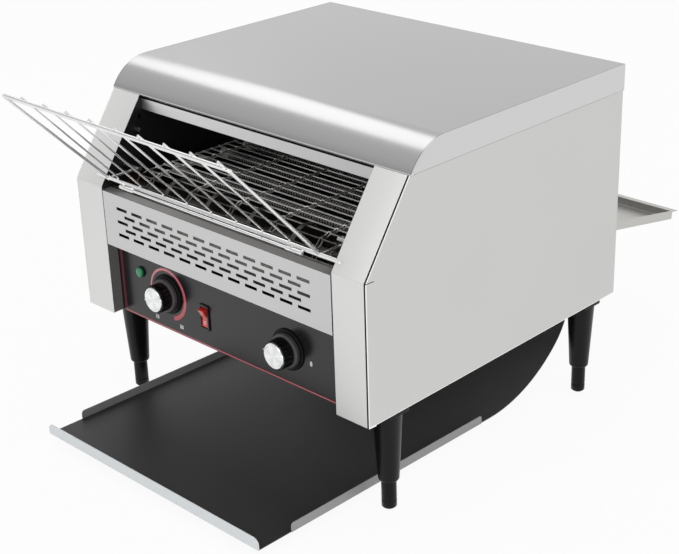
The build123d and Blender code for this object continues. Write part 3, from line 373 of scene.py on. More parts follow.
def spun_silver(name):
    """Silver disc with a finely turned face: soft spokes of painted sheen in its colour round each
    knob's middle.
    """
    finish = Finish(name, shade("f2f3f3"), 0.26, metallic=1.0)
    x, z = finish.axes("XZ")
    on_speed = x > (heat_x + speed_x) / 2
    across = abs(x - (heat_x + speed_x) / 2) - (speed_x - heat_x) / 2
    up = z - heat_z + on_speed * (heat_z - speed_z)
    turn = up.math("ARCTAN2", across)
    radius = (across * across + up * up).math("SQRT")
    spokes = (turn * 4).math("SINE") * 0.5 + (turn * 22 + 1.3).math("SINE") * 0.2
    ring_pitch = 0.32 * MM
    rings = (radius * (2 * pi / ring_pitch)).math("SINE")
    # painted sheen: the base colour brightens in spokes round each knob's middle
    sheen = finish.ramp(spokes, -0.7, 0.7)
    finish.set("Base Color", finish.mix(sheen, tint("dfe1e2"), tint("fbfcfc")))
    finish.set("Roughness", 0.26 + spokes * 0.05)
    finish.bump(rings, 0.12, 0.03 * MM)
    return finish


def lit_rocker(name):
    """Red see-through rocker plastic with a white bar above and a white ring below."""
    coat = {"coat_weight": 0.5, "coat_roughness": 0.08}
    finish = moulded(name, shade("c4201a"), 0.2, scale=700, bump=0.04, **coat)
    across, up = finish.axis("X") - rocker_x, finish.axis("Z") - rocker_z
    bar = (abs(across) < 0.4 * MM) * (abs(up - 6.5 * MM) < 2.2 * MM)
    low = up + 7.0 * MM
    ring = abs((across * across + low * low).math("SQRT") - 1.7 * MM) < 0.35 * MM
    finish.set("Base Color", finish.mix(bar.math("MAXIMUM", ring), finish.tone, tint("f0d8d6")))
    glow = finish.ramp(finish.noise(120), 0.3, 0.7)
    finish.set("Emission Color", finish.mix(glow, tint("5a0604"), tint("a01008")))
    finish.set("Emission Strength", 0.25)
    return finish


def lamp_glass(name):
    """Green lamp cap: fine ribs inside a glossy dome."""
    finish = Finish(name, shade("1f8a50"), 0.16, coat_weight=0.5, coat_roughness=0.05)
    across, up = finish.axis("X") - lamp_x, finish.axis("Z") - lamp_z
    turns = 2 * pi / (1.1 * MM)
    ribs = (across * turns).math("SINE") * (up * turns).math("SINE")
    cell = finish.ramp(ribs, -0.6, 0.6)
    finish.set("Base Color", finish.mix(cell, tint("07452a"), tint("138a56")))
    finish.set("Emission Color", finish.mix(cell, tint("06381e"), tint("1c8a52")))
    finish.set("Emission Strength", 0.35)
    finish.bump(ribs, 0.2, 0.1 * MM)
    return finish


def edging(name):
    """Satin edging steel, paler on the front lip by a painted highlight."""
    finish = sheet_metal(name, shade("9a9a9a"), 0.42, "Y", metallic=0.25)
    # painted highlight: the front lip is painted paler
    lip = finish.axis("Y") < chute_lip_y + 1.2 * MM
    finish.set("Base Color", finish.mix(lip, finish.tone, tint("dde1e3")))
    return finish


def vent_metal(name):
    """The vent panel's satin sheet; its top flange is painted paler as light, most at its left."""
    finish = sheet_metal(name, shade("d2d1d1"), 0.42, "X", grain=0.05)
    x, y, z = finish.axes("XYZ")
    # painted light: the shaded top flange is painted paler, fading from left to right
    flange = (y > front + 1.2 * MM) * (z > vent_high - 1.0 * MM)
    flange_painted_light = finish.mix(finish.ramp(x, -0.18, -0.02), tint("fafaf8"), tint("cccac8"))
    finish.set("Base Color", finish.mix(flange, finish.tone, flange_painted_light))
    return finish


def side_metal(name):
    """Satin side sheet, with painted highlights along its lower hem and along the front edge by the
    seam.
    """
    finish = sheet_metal(name, shade("d2d2d0"), 0.42, "Y")
    x, z = finish.axes("XZ")
    # painted highlights: pale bands along the front edge by the seam and along the lower hem
    edge = (abs(x) < half_width - 0.81 * MM).math("MAXIMUM", z < base_top + 1.0 * MM)
    finish.set("Base Color", finish.mix(edge, finish.tone, tint("f8f8f6")))
    return finish


def post_metal(name):
    """Satin front strip, paler on its slant by painted light; the right outer flange is painted
    dark as the seam's shade.
    """
    finish = sheet_metal(name, shade("e2e2e1"), 0.42, "Z")
    x, z = finish.axes("XZ")
    # painted light: the slant, which faces up to the light, is painted paler
    above = finish.ramp(z, fold_z - 1 * MM, fold_z + 1 * MM)
    slanted = finish.mix(above, finish.tone, tint("f6f6f5"))
    # painted shade: the right post's outer flange is painted dark to deepen the seam's shade
    flange = x > post_outer - 1.1 * MM
    finish.set("Base Color", finish.mix(flange, slanted, tint("343332")))
    return finish


def lintel_metal(name):
    """Satin strip under the roof's edge, with painted shade towards its right and a painted shadow
    line along its top.
    """
    finish = sheet_metal(name, shade("e6e6e6"), 0.4, "X")
    x, z = finish.axes("XZ")
    # painted shade: darker towards the right
    shaded = finish.mix(finish.ramp(x, -0.18, 0.18), finish.tone, tint("c4c3c3"))
    # painted shadow: a black band along the top, under the roof's edge
    finish.set("Base Color", finish.mix(z > lintel_top - 3.0 * MM, shaded, tint("060606")))
    return finish


def roof_metal(name):
    """Smooth satin roof sheet, with painted shade towards its front hem, painted light on its
    skirts, a painted highlight on the hem itself, and a fine line along its side edges.
    """
    finish = sheet_metal(name, shade("c6c6c6"), 0.26, "X", deep=0.99, grain=0.03)
    x, y, z = finish.axes("XYZ")
    beside = abs(x) - cover[1].x
    line = (beside > -1.2 * MM) * (beside < -0.4 * MM)
    # painted highlight: a pale band along the front hem
    hem = (z < eave_z + 0.9 * MM) * (y < cover[0].y + 4 * MM)
    # painted shade: the nose darkens towards the front hem
    low = finish.ramp(z, eave_z, top_z - 8 * MM, 1.0, 0.0)
    rolled = finish.mix(low, finish.tone, tint("b4b4b4"))
    # painted light: the skirts are painted paler
    skirted = finish.mix(beside > -0.4 * MM, rolled, tint("d1d1d1"))
    lined = finish.mix(line * 0.55, skirted, tint("6a6a6a"))
    finish.set("Base Color", finish.mix(hem, lined, tint("f0f0f0")))
    return finish


# ---------------------------------------------------------------- finishes
made = (
    side_metal("side_sheet"),
    sheet_metal("rear_sheet", shade("d2d2d0"), 0.42, "Z"),
    post_metal("post_sheet"),
    # painted shade: the posts' inner returns take a darker copy of the post steel
    sheet_metal("return_sheet_shaded", shade("767775"), 0.5, "Z", metallic=0.2),
    vent_metal("vent_sheet"),
    lintel_metal("lintel_sheet"),
    roof_metal("roof_sheet"),
    plain_metal("plain_steel", shade("b4b4b2"), 0.42),
    moulded("chamber_black", shade("131212"), 0.5, scale=400, specular_ior_level=0.3),
    painted_sheet("black_sheet"),
    printed_panel("panel_print"),
    plain_metal("bright_wire", shade("f4f4f4"), 0.1, metallic=0.85, bump=0.0, scale=500),
    bend_shaded_wire("belt_wire"),
    plain_metal("dull_steel", shade("5c5a58"), 0.5),
    quartz_tube("upper_quartz", upper_tube_z),
    quartz_tube("lower_quartz", shaft_z),
    moulded("ceramic", shade("d9d4c8"), 0.6),
    plain_metal("bronze", shade("6a5238"), 0.45),
    moulded("motor_black", shade("2b2b2c"), 0.45),
    moulded("black_plastic", shade("101010"), 0.3),
    moulded("collar_black", shade("060606"), 0.55, bump=0.08, specular_ior_level=0.2),
    moulded("knob_black", shade("0a0a0a"), 0.18, bump=0.04),
    # painted light: the knob skirts are the grips' black plastic, coloured grey for their lit face
    moulded("skirt_painted_light", shade("4c484b"), 0.45, bump=0.08),
    spun_silver("knob_silver"),
    moulded("white_print", shade("e6e6e4"), 0.45),
    lit_rocker("rocker_red"),
    lamp_glass("lamp_green"),
    moulded("leg_black", shade("0b0b0b"), 0.34, scale=1200, specular_ior_level=0.2),
    moulded("foot_black", shade("050505"), 0.32, specular_ior_level=0.2),
    edging("edging_steel"),
    sheet_metal("tray_steel", shade("c4c3bf"), 0.34, "Y"),
    moulded("board_green", shade("1d5a34"), 0.45),
    plain_metal("screw_steel", shade("c2c2c0"), 0.3),
)
finishes = {finish.name: finish for finish in made}


# ---------------------------------------------------------------- studio
def studio():
    """A white room for the eye and reflections, a plain level of light for the rest, the floor."""
    world = bpy.data.worlds.new("studio")
    world.use_nodes = True
    bpy.context.scene.world = world
    nodes = Nodes(world.node_tree)
    seen = seen_directly(nodes)
    glossy = nodes.add("ShaderNodeLightPath", output="Is Glossy Ray")
    way = nodes.add("ShaderNodeTexCoord", output="Generated")
    height = nodes.add("ShaderNodeSeparateXYZ", values={"Vector": way}, output="Z")
    ceiling = nodes.ramp(height, 0.0, 0.5, 0.0, 0.32)
    flag = nodes.ramp(nodes.facing(way, (0.71, -0.64, 0.295)), 0.8, 0.95, 0.0, 0.6)
    screen = nodes.ramp(nodes.facing(way, (-0.70, -0.70, 0.12)), 0.9, 0.985, 0.0, 0.5)
    room = world.node_tree.nodes["Background"]
    room.inputs["Color"].default_value = (1, 1, 1, 1)
    shaded = (1 - glossy * ceiling) * (1 - glossy * flag) * (1 - glossy * screen)
    nodes.feed(room.inputs["Strength"], (0.62 + seen * 0.38) * shaded)

    floor = Finish("floor_paint", (0.93, 0.93, 0.93), 0.8)
    glow = floor.add("ShaderNodeEmission", values={"Color": (1, 1, 1, 1), "Strength": 1.0})
    coat = Socket(floor, floor.shader.outputs[0])
    parts = {0: seen_directly(floor) * 0.93, 1: coat, 2: glow}
    blend = floor.add("ShaderNodeMixShader", values=parts)
    floor.feed(floor.tree.nodes["Material Output"].inputs["Surface"], blend)
    bm = bmesh.new()
    bmesh.ops.create_grid(bm, x_segments=1, y_segments=1, size=12.0)
    mesh = bpy.data.meshes.new("floor")
    bm.to_mesh(mesh)
    bm.free()
    mesh.materials.append(floor.material)
    ground = placed("floor", mesh)

    lamp("roof_light", (-1.12, 0.32, 1.70), (0, -0.22, 0.39), (0.92, 1.3), 4.1)
    lamp("front_light", (0.5, -2.0, 1.5), (0, -0.1, 0.25), (1.4, 1.0), 9.0)
    lamp("right_light", (2.0, 0.3, 1.3), (0.2, 0, 0.25), (1.0, 1.2), 7.0)
    lamp("low_light", (1.7, -1.3, 0.22), (0.15, -0.05, 0.05), (1.2, 0.3), 3.5)


def seen_directly(nodes):
    """1 for the eye, for reflections and for what is seen through glass, 0 for scattered light."""
    camera = nodes.add("ShaderNodeLightPath", output="Is Camera Ray")
    glossy = nodes.add("ShaderNodeLightPath", output="Is Glossy Ray")
    through = nodes.add("ShaderNodeLightPath", output="Is Transmission Ray")
    return camera.math("MAXIMUM", glossy).math("MAXIMUM", through)


def lamp(name, place, target, size, power):
    """A soft area light that faces its target and isn't seen by the camera."""
    light = bpy.data.lights.new(name, "AREA")
    light.shape = "RECTANGLE"
    light.size, light.size_y = size
    light.energy = power
    holder = placed(name, light)
    holder.location = place
    holder.rotation_euler = (Vector(target) - Vector(place)).to_track_quat("-Z", "Y").to_euler()
    holder.visible_camera = False


studio()

# ---------------------------------------------------------------- piece helpers
record = frame["record"]
body_of = {node: body for body, nodes in record["behaviour"]["bodies"].items() for node in nodes}


def keep(bm, name, finish, *nodes, sharp=32.0, rim=0.0, wall=0.0):
    """Makes a piece of a bmesh: smooth faces, wall, rounded rims, and its body and nodes."""
    bmesh.ops.remove_doubles(bm, verts=bm.verts, dist=1e-6)
    for face in bm.faces:
        face.smooth = True
    for edge in bm.edges:
        edge.smooth = edge.calc_face_angle(0) < radians(sharp)
    mesh = bpy.data.meshes.new(name)
    bm.to_mesh(mesh)
    bm.free()
    piece = placed(name, mesh)
    dress(piece, finish)
    if wall:
        skin = piece.modifiers.new("wall", "SOLIDIFY")
        skin.thickness = wall
        skin.offset = -1
        skin.use_even_offset = True
    if rim:
        soften = piece.modifiers.new("rim", "BEVEL")
        soften.width = rim
        soften.segments = 2
        soften.limit_method = "ANGLE"
        soften.angle_limit = radians(sharp)
        soften.harden_normals = True
    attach(piece, body_of[nodes[0]])
    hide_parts(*nodes)


def dress(piece, finish):
    """Gives a piece its finish."""
    piece.data.materials.clear()
    piece.data.materials.append(finishes[finish].material)


def softened(node, finish, rim, shape=None):
    """A merged copy of a CAD node with rounded rims, after an optional change of its shape."""
    bm = bmesh.new()
    bm.from_mesh(frame["nodes"][node].data)
    bmesh.ops.remove_doubles(bm, verts=bm.verts, dist=2e-6)
    bmesh.ops.dissolve_limit(bm, angle_limit=radians(0.3), verts=bm.verts, edges=bm.edges)
    if shape:
        shape(bm)
    keep(bm, node + "_soft", finish, node, rim=rim)


def chain(bm, points):
    """Vertices joined by edges, in order."""
    verts = [bmesh.ops.create_vert(bm, co=point)["vert"][0] for point in points]
    edges = [bm.edges.new(pair) for pair in zip(verts, verts[1:])]
    return verts, edges


def loft(bm, rows):
    """Faces between rows of points."""
    chains = [chain(bm, row)[1] for row in rows]
    for low, high in zip(chains, chains[1:]):
        bmesh.ops.bridge_loops(bm, edges=low + high)


def carry(bm, edges, move, centre=None, scale=1.0):
    """Extrudes edges by a move, sized in X and Z about a centre, and returns the new ones."""
    made = bmesh.ops.extrude_edge_only(bm, edges=edges)["geom"]
    verts = [g for g in made if isinstance(g, bmesh.types.BMVert)]
    bmesh.ops.translate(bm, vec=move, verts=verts)
    if centre is not None:
        about = Matrix.Translation(-centre)
        bmesh.ops.scale(bm, vec=(scale, 1, scale), space=about, verts=verts)
    return [g for g in made if isinstance(g, bmesh.types.BMEdge)]


def curl(bm, edges, centre, angle, steps):
    """Extrudes edges round an X axis through centre and returns the last ones."""
    spun = bmesh.ops.spin(bm, geom=edges, cent=centre, axis=(1, 0, 0), dvec=(0, 0, 0),
                          angle=angle, steps=steps, use_duplicate=False)
    return [g for g in spun["geom_last"] if isinstance(g, bmesh.types.BMEdge)]


def turned(bm, points, centre, axis, steps=64):
    """A lathe shape from (radius, along) points round an axis through centre, closed on it."""
    axis = Vector(axis)
    centre = Vector(centre)
    out = axis.orthogonal().normalized()
    old = set(bm.verts)
    verts, edges = chain(bm, [centre + out * r + axis * a for r, a in points])
    bmesh.ops.spin(bm, geom=verts + edges, cent=centre, axis=axis, dvec=(0, 0, 0),
                   angle=2 * pi, steps=steps, use_duplicate=False, use_merge=True)
    bmesh.ops.remove_doubles(bm, verts=[v for v in bm.verts if v not in old], dist=1e-6)
    outward(bm, old)


def outward(bm, old=()):
    """Points the faces made since the old vertices outwards."""
    faces = [f for f in bm.faces if f.verts[0] not in old]
    bmesh.ops.recalc_face_normals(bm, faces=faces)


def round_off(bm, edges, width):
    """Rounds edges over a width, in four steps."""
    bmesh.ops.bevel(bm, geom=edges, offset=width, segments=4, profile=0.5, affect="EDGES",
                    material=-1)


def mm(*points):
    """Lathe points from millimetres."""
    return [(radius * MM, along * MM) for radius, along in points]


def rounded(low, high, radius, soft):
    """Lathe points of a bar between two places, with its ends rounded a little."""
    inner, cut = radius - soft, 0.3 * soft
    return [(0, low), (inner, low), (radius - cut, low + cut), (radius, low + soft),
            (radius, high - soft), (radius - cut, high - cut), (inner, high), (0, high)]


def block(bm, low, high):
    """A box between two corners."""
    low, high = Vector(low), Vector(high)
    stand = Matrix.Translation((low + high) / 2) @ Matrix.Diagonal((*(high - low), 1))
    return bmesh.ops.create_cube(bm, size=1, matrix=stand)["verts"]


def add_line(bm, line, turn=Matrix()):
    """Adds a curve or a text to a bmesh as faces."""
    holder = bpy.data.objects.new(line.name, line)
    mesh = bpy.data.meshes.new_from_object(holder)
    mesh.transform(turn)
    bm.from_mesh(mesh)
    bpy.data.objects.remove(holder)
    bpy.data.curves.remove(line)
    bpy.data.meshes.remove(mesh)


def rods(name, runs, finish, *nodes, sides, extra=None):
    """Round wires from (radius, points, bend) runs, with smooth bends at their corners."""
    bm = bmesh.new()
    for radius, points, bend in runs:
        line = bpy.data.curves.new(name, "CURVE")
        line.dimensions = "3D"
        line.bevel_depth = radius
        line.bevel_resolution = sides
        line.use_fill_caps = True
        line.resolution_u = 6
        corners = [Vector(p) for p in points]
        path = [corners[0]]
        for before, here, after in zip(corners, corners[1:], corners[2:]):
            into, out = (here - before).normalized(), (after - here).normalized()
            reach = 2 * bend * tan(into.angle(out) / 2)
            path += [here - into * reach, here, here + out * reach] if bend else [here]
        path.append(corners[-1])
        spline = line.splines.new("NURBS" if bend else "POLY")
        spline.points.add(len(path) - 1)
        for point, place in zip(spline.points, path):
            point.co = (*place, 1)
        if bend:
            spline.order_u = 3
            spline.use_endpoint_u = True
        add_line(bm, line)
    if extra:
        extra(bm)
    keep(bm, name, finish, *nodes, sharp=40.0)


# ---------------------------------------------------------------- roof
roof_radius = 60.0 * MM
roof_rise = top_z - eave_z
roof_reach = (roof_radius**2 - (roof_radius - roof_rise) ** 2) ** 0.5
roof_centre = Vector((0, cover[0].y + roof_reach, top_z - roof_radius))


def roof():
    """The rolled cover: curved nose, flat deck, short tail, and skirts let in a little."""
    start = asin((roof_radius - roof_rise) / roof_radius)
    line_width, let_in = 0.5 * MM, 0.3 * MM
    bm = bmesh.new()
    edges = chain(bm, [(cover[0].x, cover[0].y, eave_z), (cover[1].x, cover[0].y, eave_z)])[1]
    nose = curl(bm, edges, roof_centre, -(pi / 2 - start), 28)
    deck = carry(bm, nose, (0, cover[1].y - roof_centre.y, 0))
    carry(bm, deck, (0, 0, eave_z - top_z))
    for x in (cover[0].x, cover[1].x):
        ring = [v for v in bm.verts if abs(v.co.x - x) < 1e-6]
        bmesh.ops.contextual_create(bm, geom=ring)
    bmesh.ops.recalc_face_normals(bm, faces=bm.faces)
    ends = [f for f in bm.faces if abs(f.normal.x) > 0.9]
    bmesh.ops.inset_individual(bm, faces=ends, thickness=line_width, depth=0)
    for face in [f for f in bm.faces if abs(f.normal.x) > 0.9 and len(f.verts) > 4]:
        bmesh.ops.translate(bm, vec=-face.normal * let_in, verts=face.verts)
    keep(bm, "roof", "roof_sheet", "top_cover", rim=0.35 * MM, wall=sheet, sharp=35)


roof()

# ---------------------------------------------------------------- side panels and posts
band = 9.0 * MM
relief = 0.8 * MM


def fold_at(depth):
    """Height of the front outline's fold, moved back by a depth."""
    return fold_z - depth * (1 - sin(slant)) / cos(slant)


def front_at(depth, z):
    """Y of the front outline, moved back by a depth, at a height."""
    if z <= fold_at(depth):
        return front + depth
    return front + depth / sin(slant) + (z - fold_z) / tan(slant)


def side_panel(name, x, side):
    """A side: flat sheet with a folded front band, and a relief cut at the fold."""
    tuck = 15.0 * MM
    lean = side * 0.9 * MM
    levels = (bottom_z, fold_z - relief / 2, fold_z + relief / 2, eave_z)
    bm = bmesh.new()
    for ends in (levels[:2], levels[2:]):
        loft(bm, [[(x - lean, front_at(0, z), z), (x, front_at(band, z), z)] for z in ends])
    outline = [(front_at(band, z), z) for z in levels] + [
        (front_at(band, eave_z) + tuck, eave_z + tuck),
        (back, eave_z + tuck),
        (back, base_top),
        (front_at(band, bottom_z) + 1 * MM, base_top),
        (front_at(band, bottom_z) + 1 * MM, bottom_z),
    ]
    ring = [bmesh.ops.create_vert(bm, co=(x, y, z))["vert"][0] for y, z in outline]
    bm.faces.new(ring)
    bmesh.ops.remove_doubles(bm, verts=bm.verts, dist=1e-6)
    for face in bm.faces:
        if face.normal.x * side < 0:
            face.normal_flip()
    keep(bm, name + "_sheet", "side_sheet", name, wall=sheet, rim=0.3 * MM, sharp=20)


side_panel("left_side_panel", -half_width, -1)
side_panel("right_side_panel", half_width, 1)


def post(name, side):
    """A front post: folded upright and slanted strip, and a short inner return below.

    The left one is a little wider, which closes the seams beside it."""
    deep = 14.0 * MM
    inner_deep = panel_y - front - 0.3 * MM
    top = eave_z - 0.3 * MM
    low = vent_low - 0.3 * MM
    spread, lap = (1.3 * MM, 0.6 * MM) if side < 0 else (0, 0)
    outer = side * post_outer - spread
    inner = side * opening_half

    def row(z):
        y = front_at(0, z)
        back_z = fold_at(deep) if z == fold_z else z
        edge = inner + lap if z <= fold_z else inner
        return [(outer, front_at(deep, back_z), back_z), (outer, y, z), (edge, y, z)]

    bm = bmesh.new()
    loft(bm, [row(bottom_z), row(low), row(fold_z), row(top)])
    bmesh.ops.remove_doubles(bm, verts=bm.verts, dist=1e-6)
    bmesh.ops.recalc_face_normals(bm, faces=bm.faces)
    if sum(f.normal.y for f in bm.faces) > 0:
        bmesh.ops.reverse_faces(bm, faces=bm.faces)
    folds = [e for e in bm.edges if e.is_manifold and e.calc_face_angle(0) > radians(20)]
    round_off(bm, folds, 1.5 * MM)
    keep(bm, name + "_sheet", "post_sheet", name, wall=sheet, rim=0.2 * MM, sharp=40)
    bm = bmesh.new()
    foot = (inner, front + sheet, bottom_z + 0.3 * MM)
    block(bm, foot, (inner + side * sheet, front + inner_deep, low))
    outward(bm)
    # the inner return wears the darker copy of the post steel, as painted shade
    keep(bm, name + "_return", "return_sheet_shaded", name, rim=0.15 * MM)


post("left_front_post", -1)
post("right_front_post", 1)

# ---------------------------------------------------------------- wire belt
belt_pitch = 12.0 * MM
belt_radius = 23.182 * MM
belt_half = 160.0 * MM
belt_wire = 1.1 * MM

# Millimetres: the middles of the link columns, and a hook's points as x, share of a pitch, lift.
link_columns = (-136, -68, 0, 68, 136)
edge_hook = ((4, 1.08, 0.7), (0.8, 1.08, 0.4), (0, 0.9, -0.6), (0, 0.3, -0.9), (1.2, 0.02, 0),
             (3, 0, 0))
link_hook = ((4.2, 0, 0), (2.7, 0.1, -0.4), (2.5, 0.45, -1.5), (2.4, 0.9, -1.2), (1.6, 1.08, 0.2))


def belt_places():
    """The places of the belt's strands round its loop, each with the way outwards."""
    count = round((drive_y - idler_y) / belt_pitch)
    places = []
    for side, start_y, end_y in ((1, idler_y, drive_y), (-1, drive_y, idler_y)):
        out = Vector((0, 0, side))
        for i in range(count + 1):
            y = start_y + side * belt_pitch * i
            places.append((Vector((0, y, shaft_z + side * belt_radius)), out))
        for i in range(1, 6):
            out = side * Vector((0, sin(radians(30 * i)), cos(radians(30 * i))))
            places.append((Vector((0, end_y, shaft_z)) + out * belt_radius, out))
    return places


def strand(here, out, there):
    """One strand: straight lands with a looped hook at each link column and at both edges."""
    step = there - here

    def at(x, along, lift):
        return here + step * along + out * lift * MM + Vector((x * MM, 0, 0))

    edge = belt_half / MM - 1.5
    line = [at(x - edge, along, lift) for x, along, lift in edge_hook]
    for column in link_columns:
        line += [at(column - x, along, lift) for x, along, lift in link_hook]
        line += [at(column + x, along, lift) for x, along, lift in link_hook[::-1]]
    line += [at(edge - x, along, lift) for x, along, lift in edge_hook[::-1]]
    return belt_wire, line, 0


places = belt_places()
strands = [strand(*here, there) for here, (there, _) in zip(places, places[1:] + places[:1])]
rods("belt", strands, "belt_wire", "belt_runs", "belt_bends", sides=1)

# ---------------------------------------------------------------- heater tubes and their caps
tube_shape = rounded(-tube_half, tube_half, tube_radius, 1.5 * MM)
for name, z in (("upper", upper_tube_z), ("lower", shaft_z)):
    bm = bmesh.new()
    for y in tube_ys:
        turned(bm, tube_shape, (0, y, z), (1, 0, 0), steps=40)
    keep(bm, name + "_quartz_tubes", name + "_quartz", name + "_heater_tubes")

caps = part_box("heater_caps")
cap_radius = (caps[1].z - caps[0].z - (upper_tube_z - shaft_z)) / 2
cap_in, cap_out = tube_half - 9.7 * MM, caps[1].x
neck = cap_radius - 0.8 * MM
cap_shape = [(0, cap_in + 1 * MM), (tube_radius + 0.3 * MM, cap_in + 1 * MM),
             (tube_radius + 0.6 * MM, cap_in), (cap_radius - 0.7 * MM, cap_in),
             (cap_radius, cap_in + 0.7 * MM), (cap_radius, cap_in + 4 * MM),
             (neck, cap_in + 4.6 * MM), (neck, cap_out - 0.7 * MM), (neck - 0.7 * MM, cap_out),
             (0, cap_out)]
bm = bmesh.new()
for side in (-1, 1):
    for y in tube_ys:
        for z in (upper_tube_z, shaft_z):
            turned(bm, cap_shape, (0, y, z), (side, 0, 0), steps=36)
keep(bm, "tube_end_caps", "ceramic", "heater_caps", rim=0.15 * MM)

# ---------------------------------------------------------------- loading rack
rod_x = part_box("rack_frame")[1].x
rod_radius = 2.5 * MM
frame_radius = 1.8 * MM
rack_lean = radians(45.8)
rod_y, rod_z = -261.4169 * MM, 298.3464 * MM
rack_length = 179.0 * MM
rack_half = 178.0 * MM
rack_feet = (-175.0 * MM, 166.0 * MM)
slat_radius = 1.1 * MM
stop_half = 147.5 * MM
stop_y, stop_z = rod_y - 6.0 * MM, rod_z - 2.0 * MM
second_bar = rack_length - 5.2 * MM
rack_wire_xs = [(40.2 * i * MM, (38.5 * i + 12) * MM) for i in range(-4, 5)]


def on_rack(along, lift=0.0):
    """A place on the rack in side view, measured from the rod."""
    lean, rise = cos(rack_lean), sin(rack_lean)
    return (rod_y - along * lean + lift * rise, rod_z + along * rise + lift * lean)


def bar(bm, low, high, y, z, radius, soft=0.5 * MM, steps=24):
    """A round bar along X with softened ends."""
    turned(bm, rounded(low, high, radius, soft), (0, y, z), (1, 0, 0), steps=steps)


def bead(bm, place, radius, stretch=(1, 1, 1)):
    """A small weld bead."""
    spot = Matrix.Translation(place) @ Matrix.Diagonal((*stretch, 1))
    bmesh.ops.create_icosphere(bm, subdivisions=2, radius=radius, matrix=spot)


def rack_bars(bm):
    """The rod, the second bar, the stop bar with its sleeves and tabs, and the weld beads."""
    bar(bm, -rod_x, rod_x, rod_y, rod_z, rod_radius, 1.0 * MM, 32)
    second = on_rack(second_bar, rod_radius - 1.5 * MM)
    bar(bm, -rack_half, rack_half, *second, 1.5 * MM)
    bar(bm, -stop_half, stop_half, stop_y, stop_z, 1.6 * MM)
    for side, foot_x in zip((-1, 1), rack_feet):
        sleeve = sorted((side * (stop_half - 0.4 * MM), side * (stop_half - 24 * MM)))
        bar(bm, *sleeve, stop_y, stop_z, 2.4 * MM, 0.5 * MM, 32)
        for inner in (3 * MM, 19 * MM):
            x = side * (stop_half - inner)
            low = (x - 1.0 * MM, stop_y, stop_z - 0.8 * MM)
            tab = block(bm, low, (x + 1.0 * MM, rod_y, stop_z + 0.8 * MM))
            upper = [v for v in tab if v.co.y > rod_y - 1e-5]
            bmesh.ops.translate(bm, vec=(0, 0, rod_z - stop_z), verts=upper)
        bead(bm, (side * rack_half, *second), 2.3 * MM)
        bead(bm, (foot_x, rod_y, rod_z), 3.1 * MM, (0.9, 1, 1))
    for x, far_x in rack_wire_xs:
        bead(bm, (x, *on_rack(0.4 * MM, rod_radius + 0.3 * MM)), 1.5 * MM, (1.1, 1, 1))
        bead(bm, (far_x, *on_rack(second_bar, rod_radius)), 1.5 * MM, (1.2, 1, 1))
        bead(bm, (far_x, far[0], far[1] + 1.6 * MM), 1.6 * MM, (1.2, 1, 1))


far = on_rack(rack_length, rod_radius - frame_radius)
arm_end = rod_y + 37.0 * MM
left_run, right_run = [
    [(side * rack_half, *far), (foot_x, rod_y, rod_z), (foot_x, arm_end, rod_z)]
    for side, foot_x in zip((-1, 1), rack_feet)
]
frame_run = (frame_radius, left_run[::-1] + right_run, 7.0 * MM)
rods("rack_frame_wires", [frame_run], "bright_wire", "rack_frame", sides=4, extra=rack_bars)

bm = bmesh.new()
wire_lift = rod_radius + 1.25 * MM
slat = rounded(0.2 * MM, rack_length + 3.2 * MM, slat_radius, 0.4 * MM)
for x, far_x in rack_wire_xs:
    foot = Vector((x, *on_rack(0, wire_lift)))
    tip = Vector((far_x, *on_rack(rack_length, wire_lift)))
    turned(bm, slat, foot, (tip - foot).normalized(), steps=20)
keep(bm, "rack_slat_wires", "bright_wire", "rack_wires", sharp=40)

# ---------------------------------------------------------------- knobs
flutes = 24
flute_depths = [depth * MM for depth in (0.75, 0.45, 0, 0, 0, 0, 0, 0.45)]


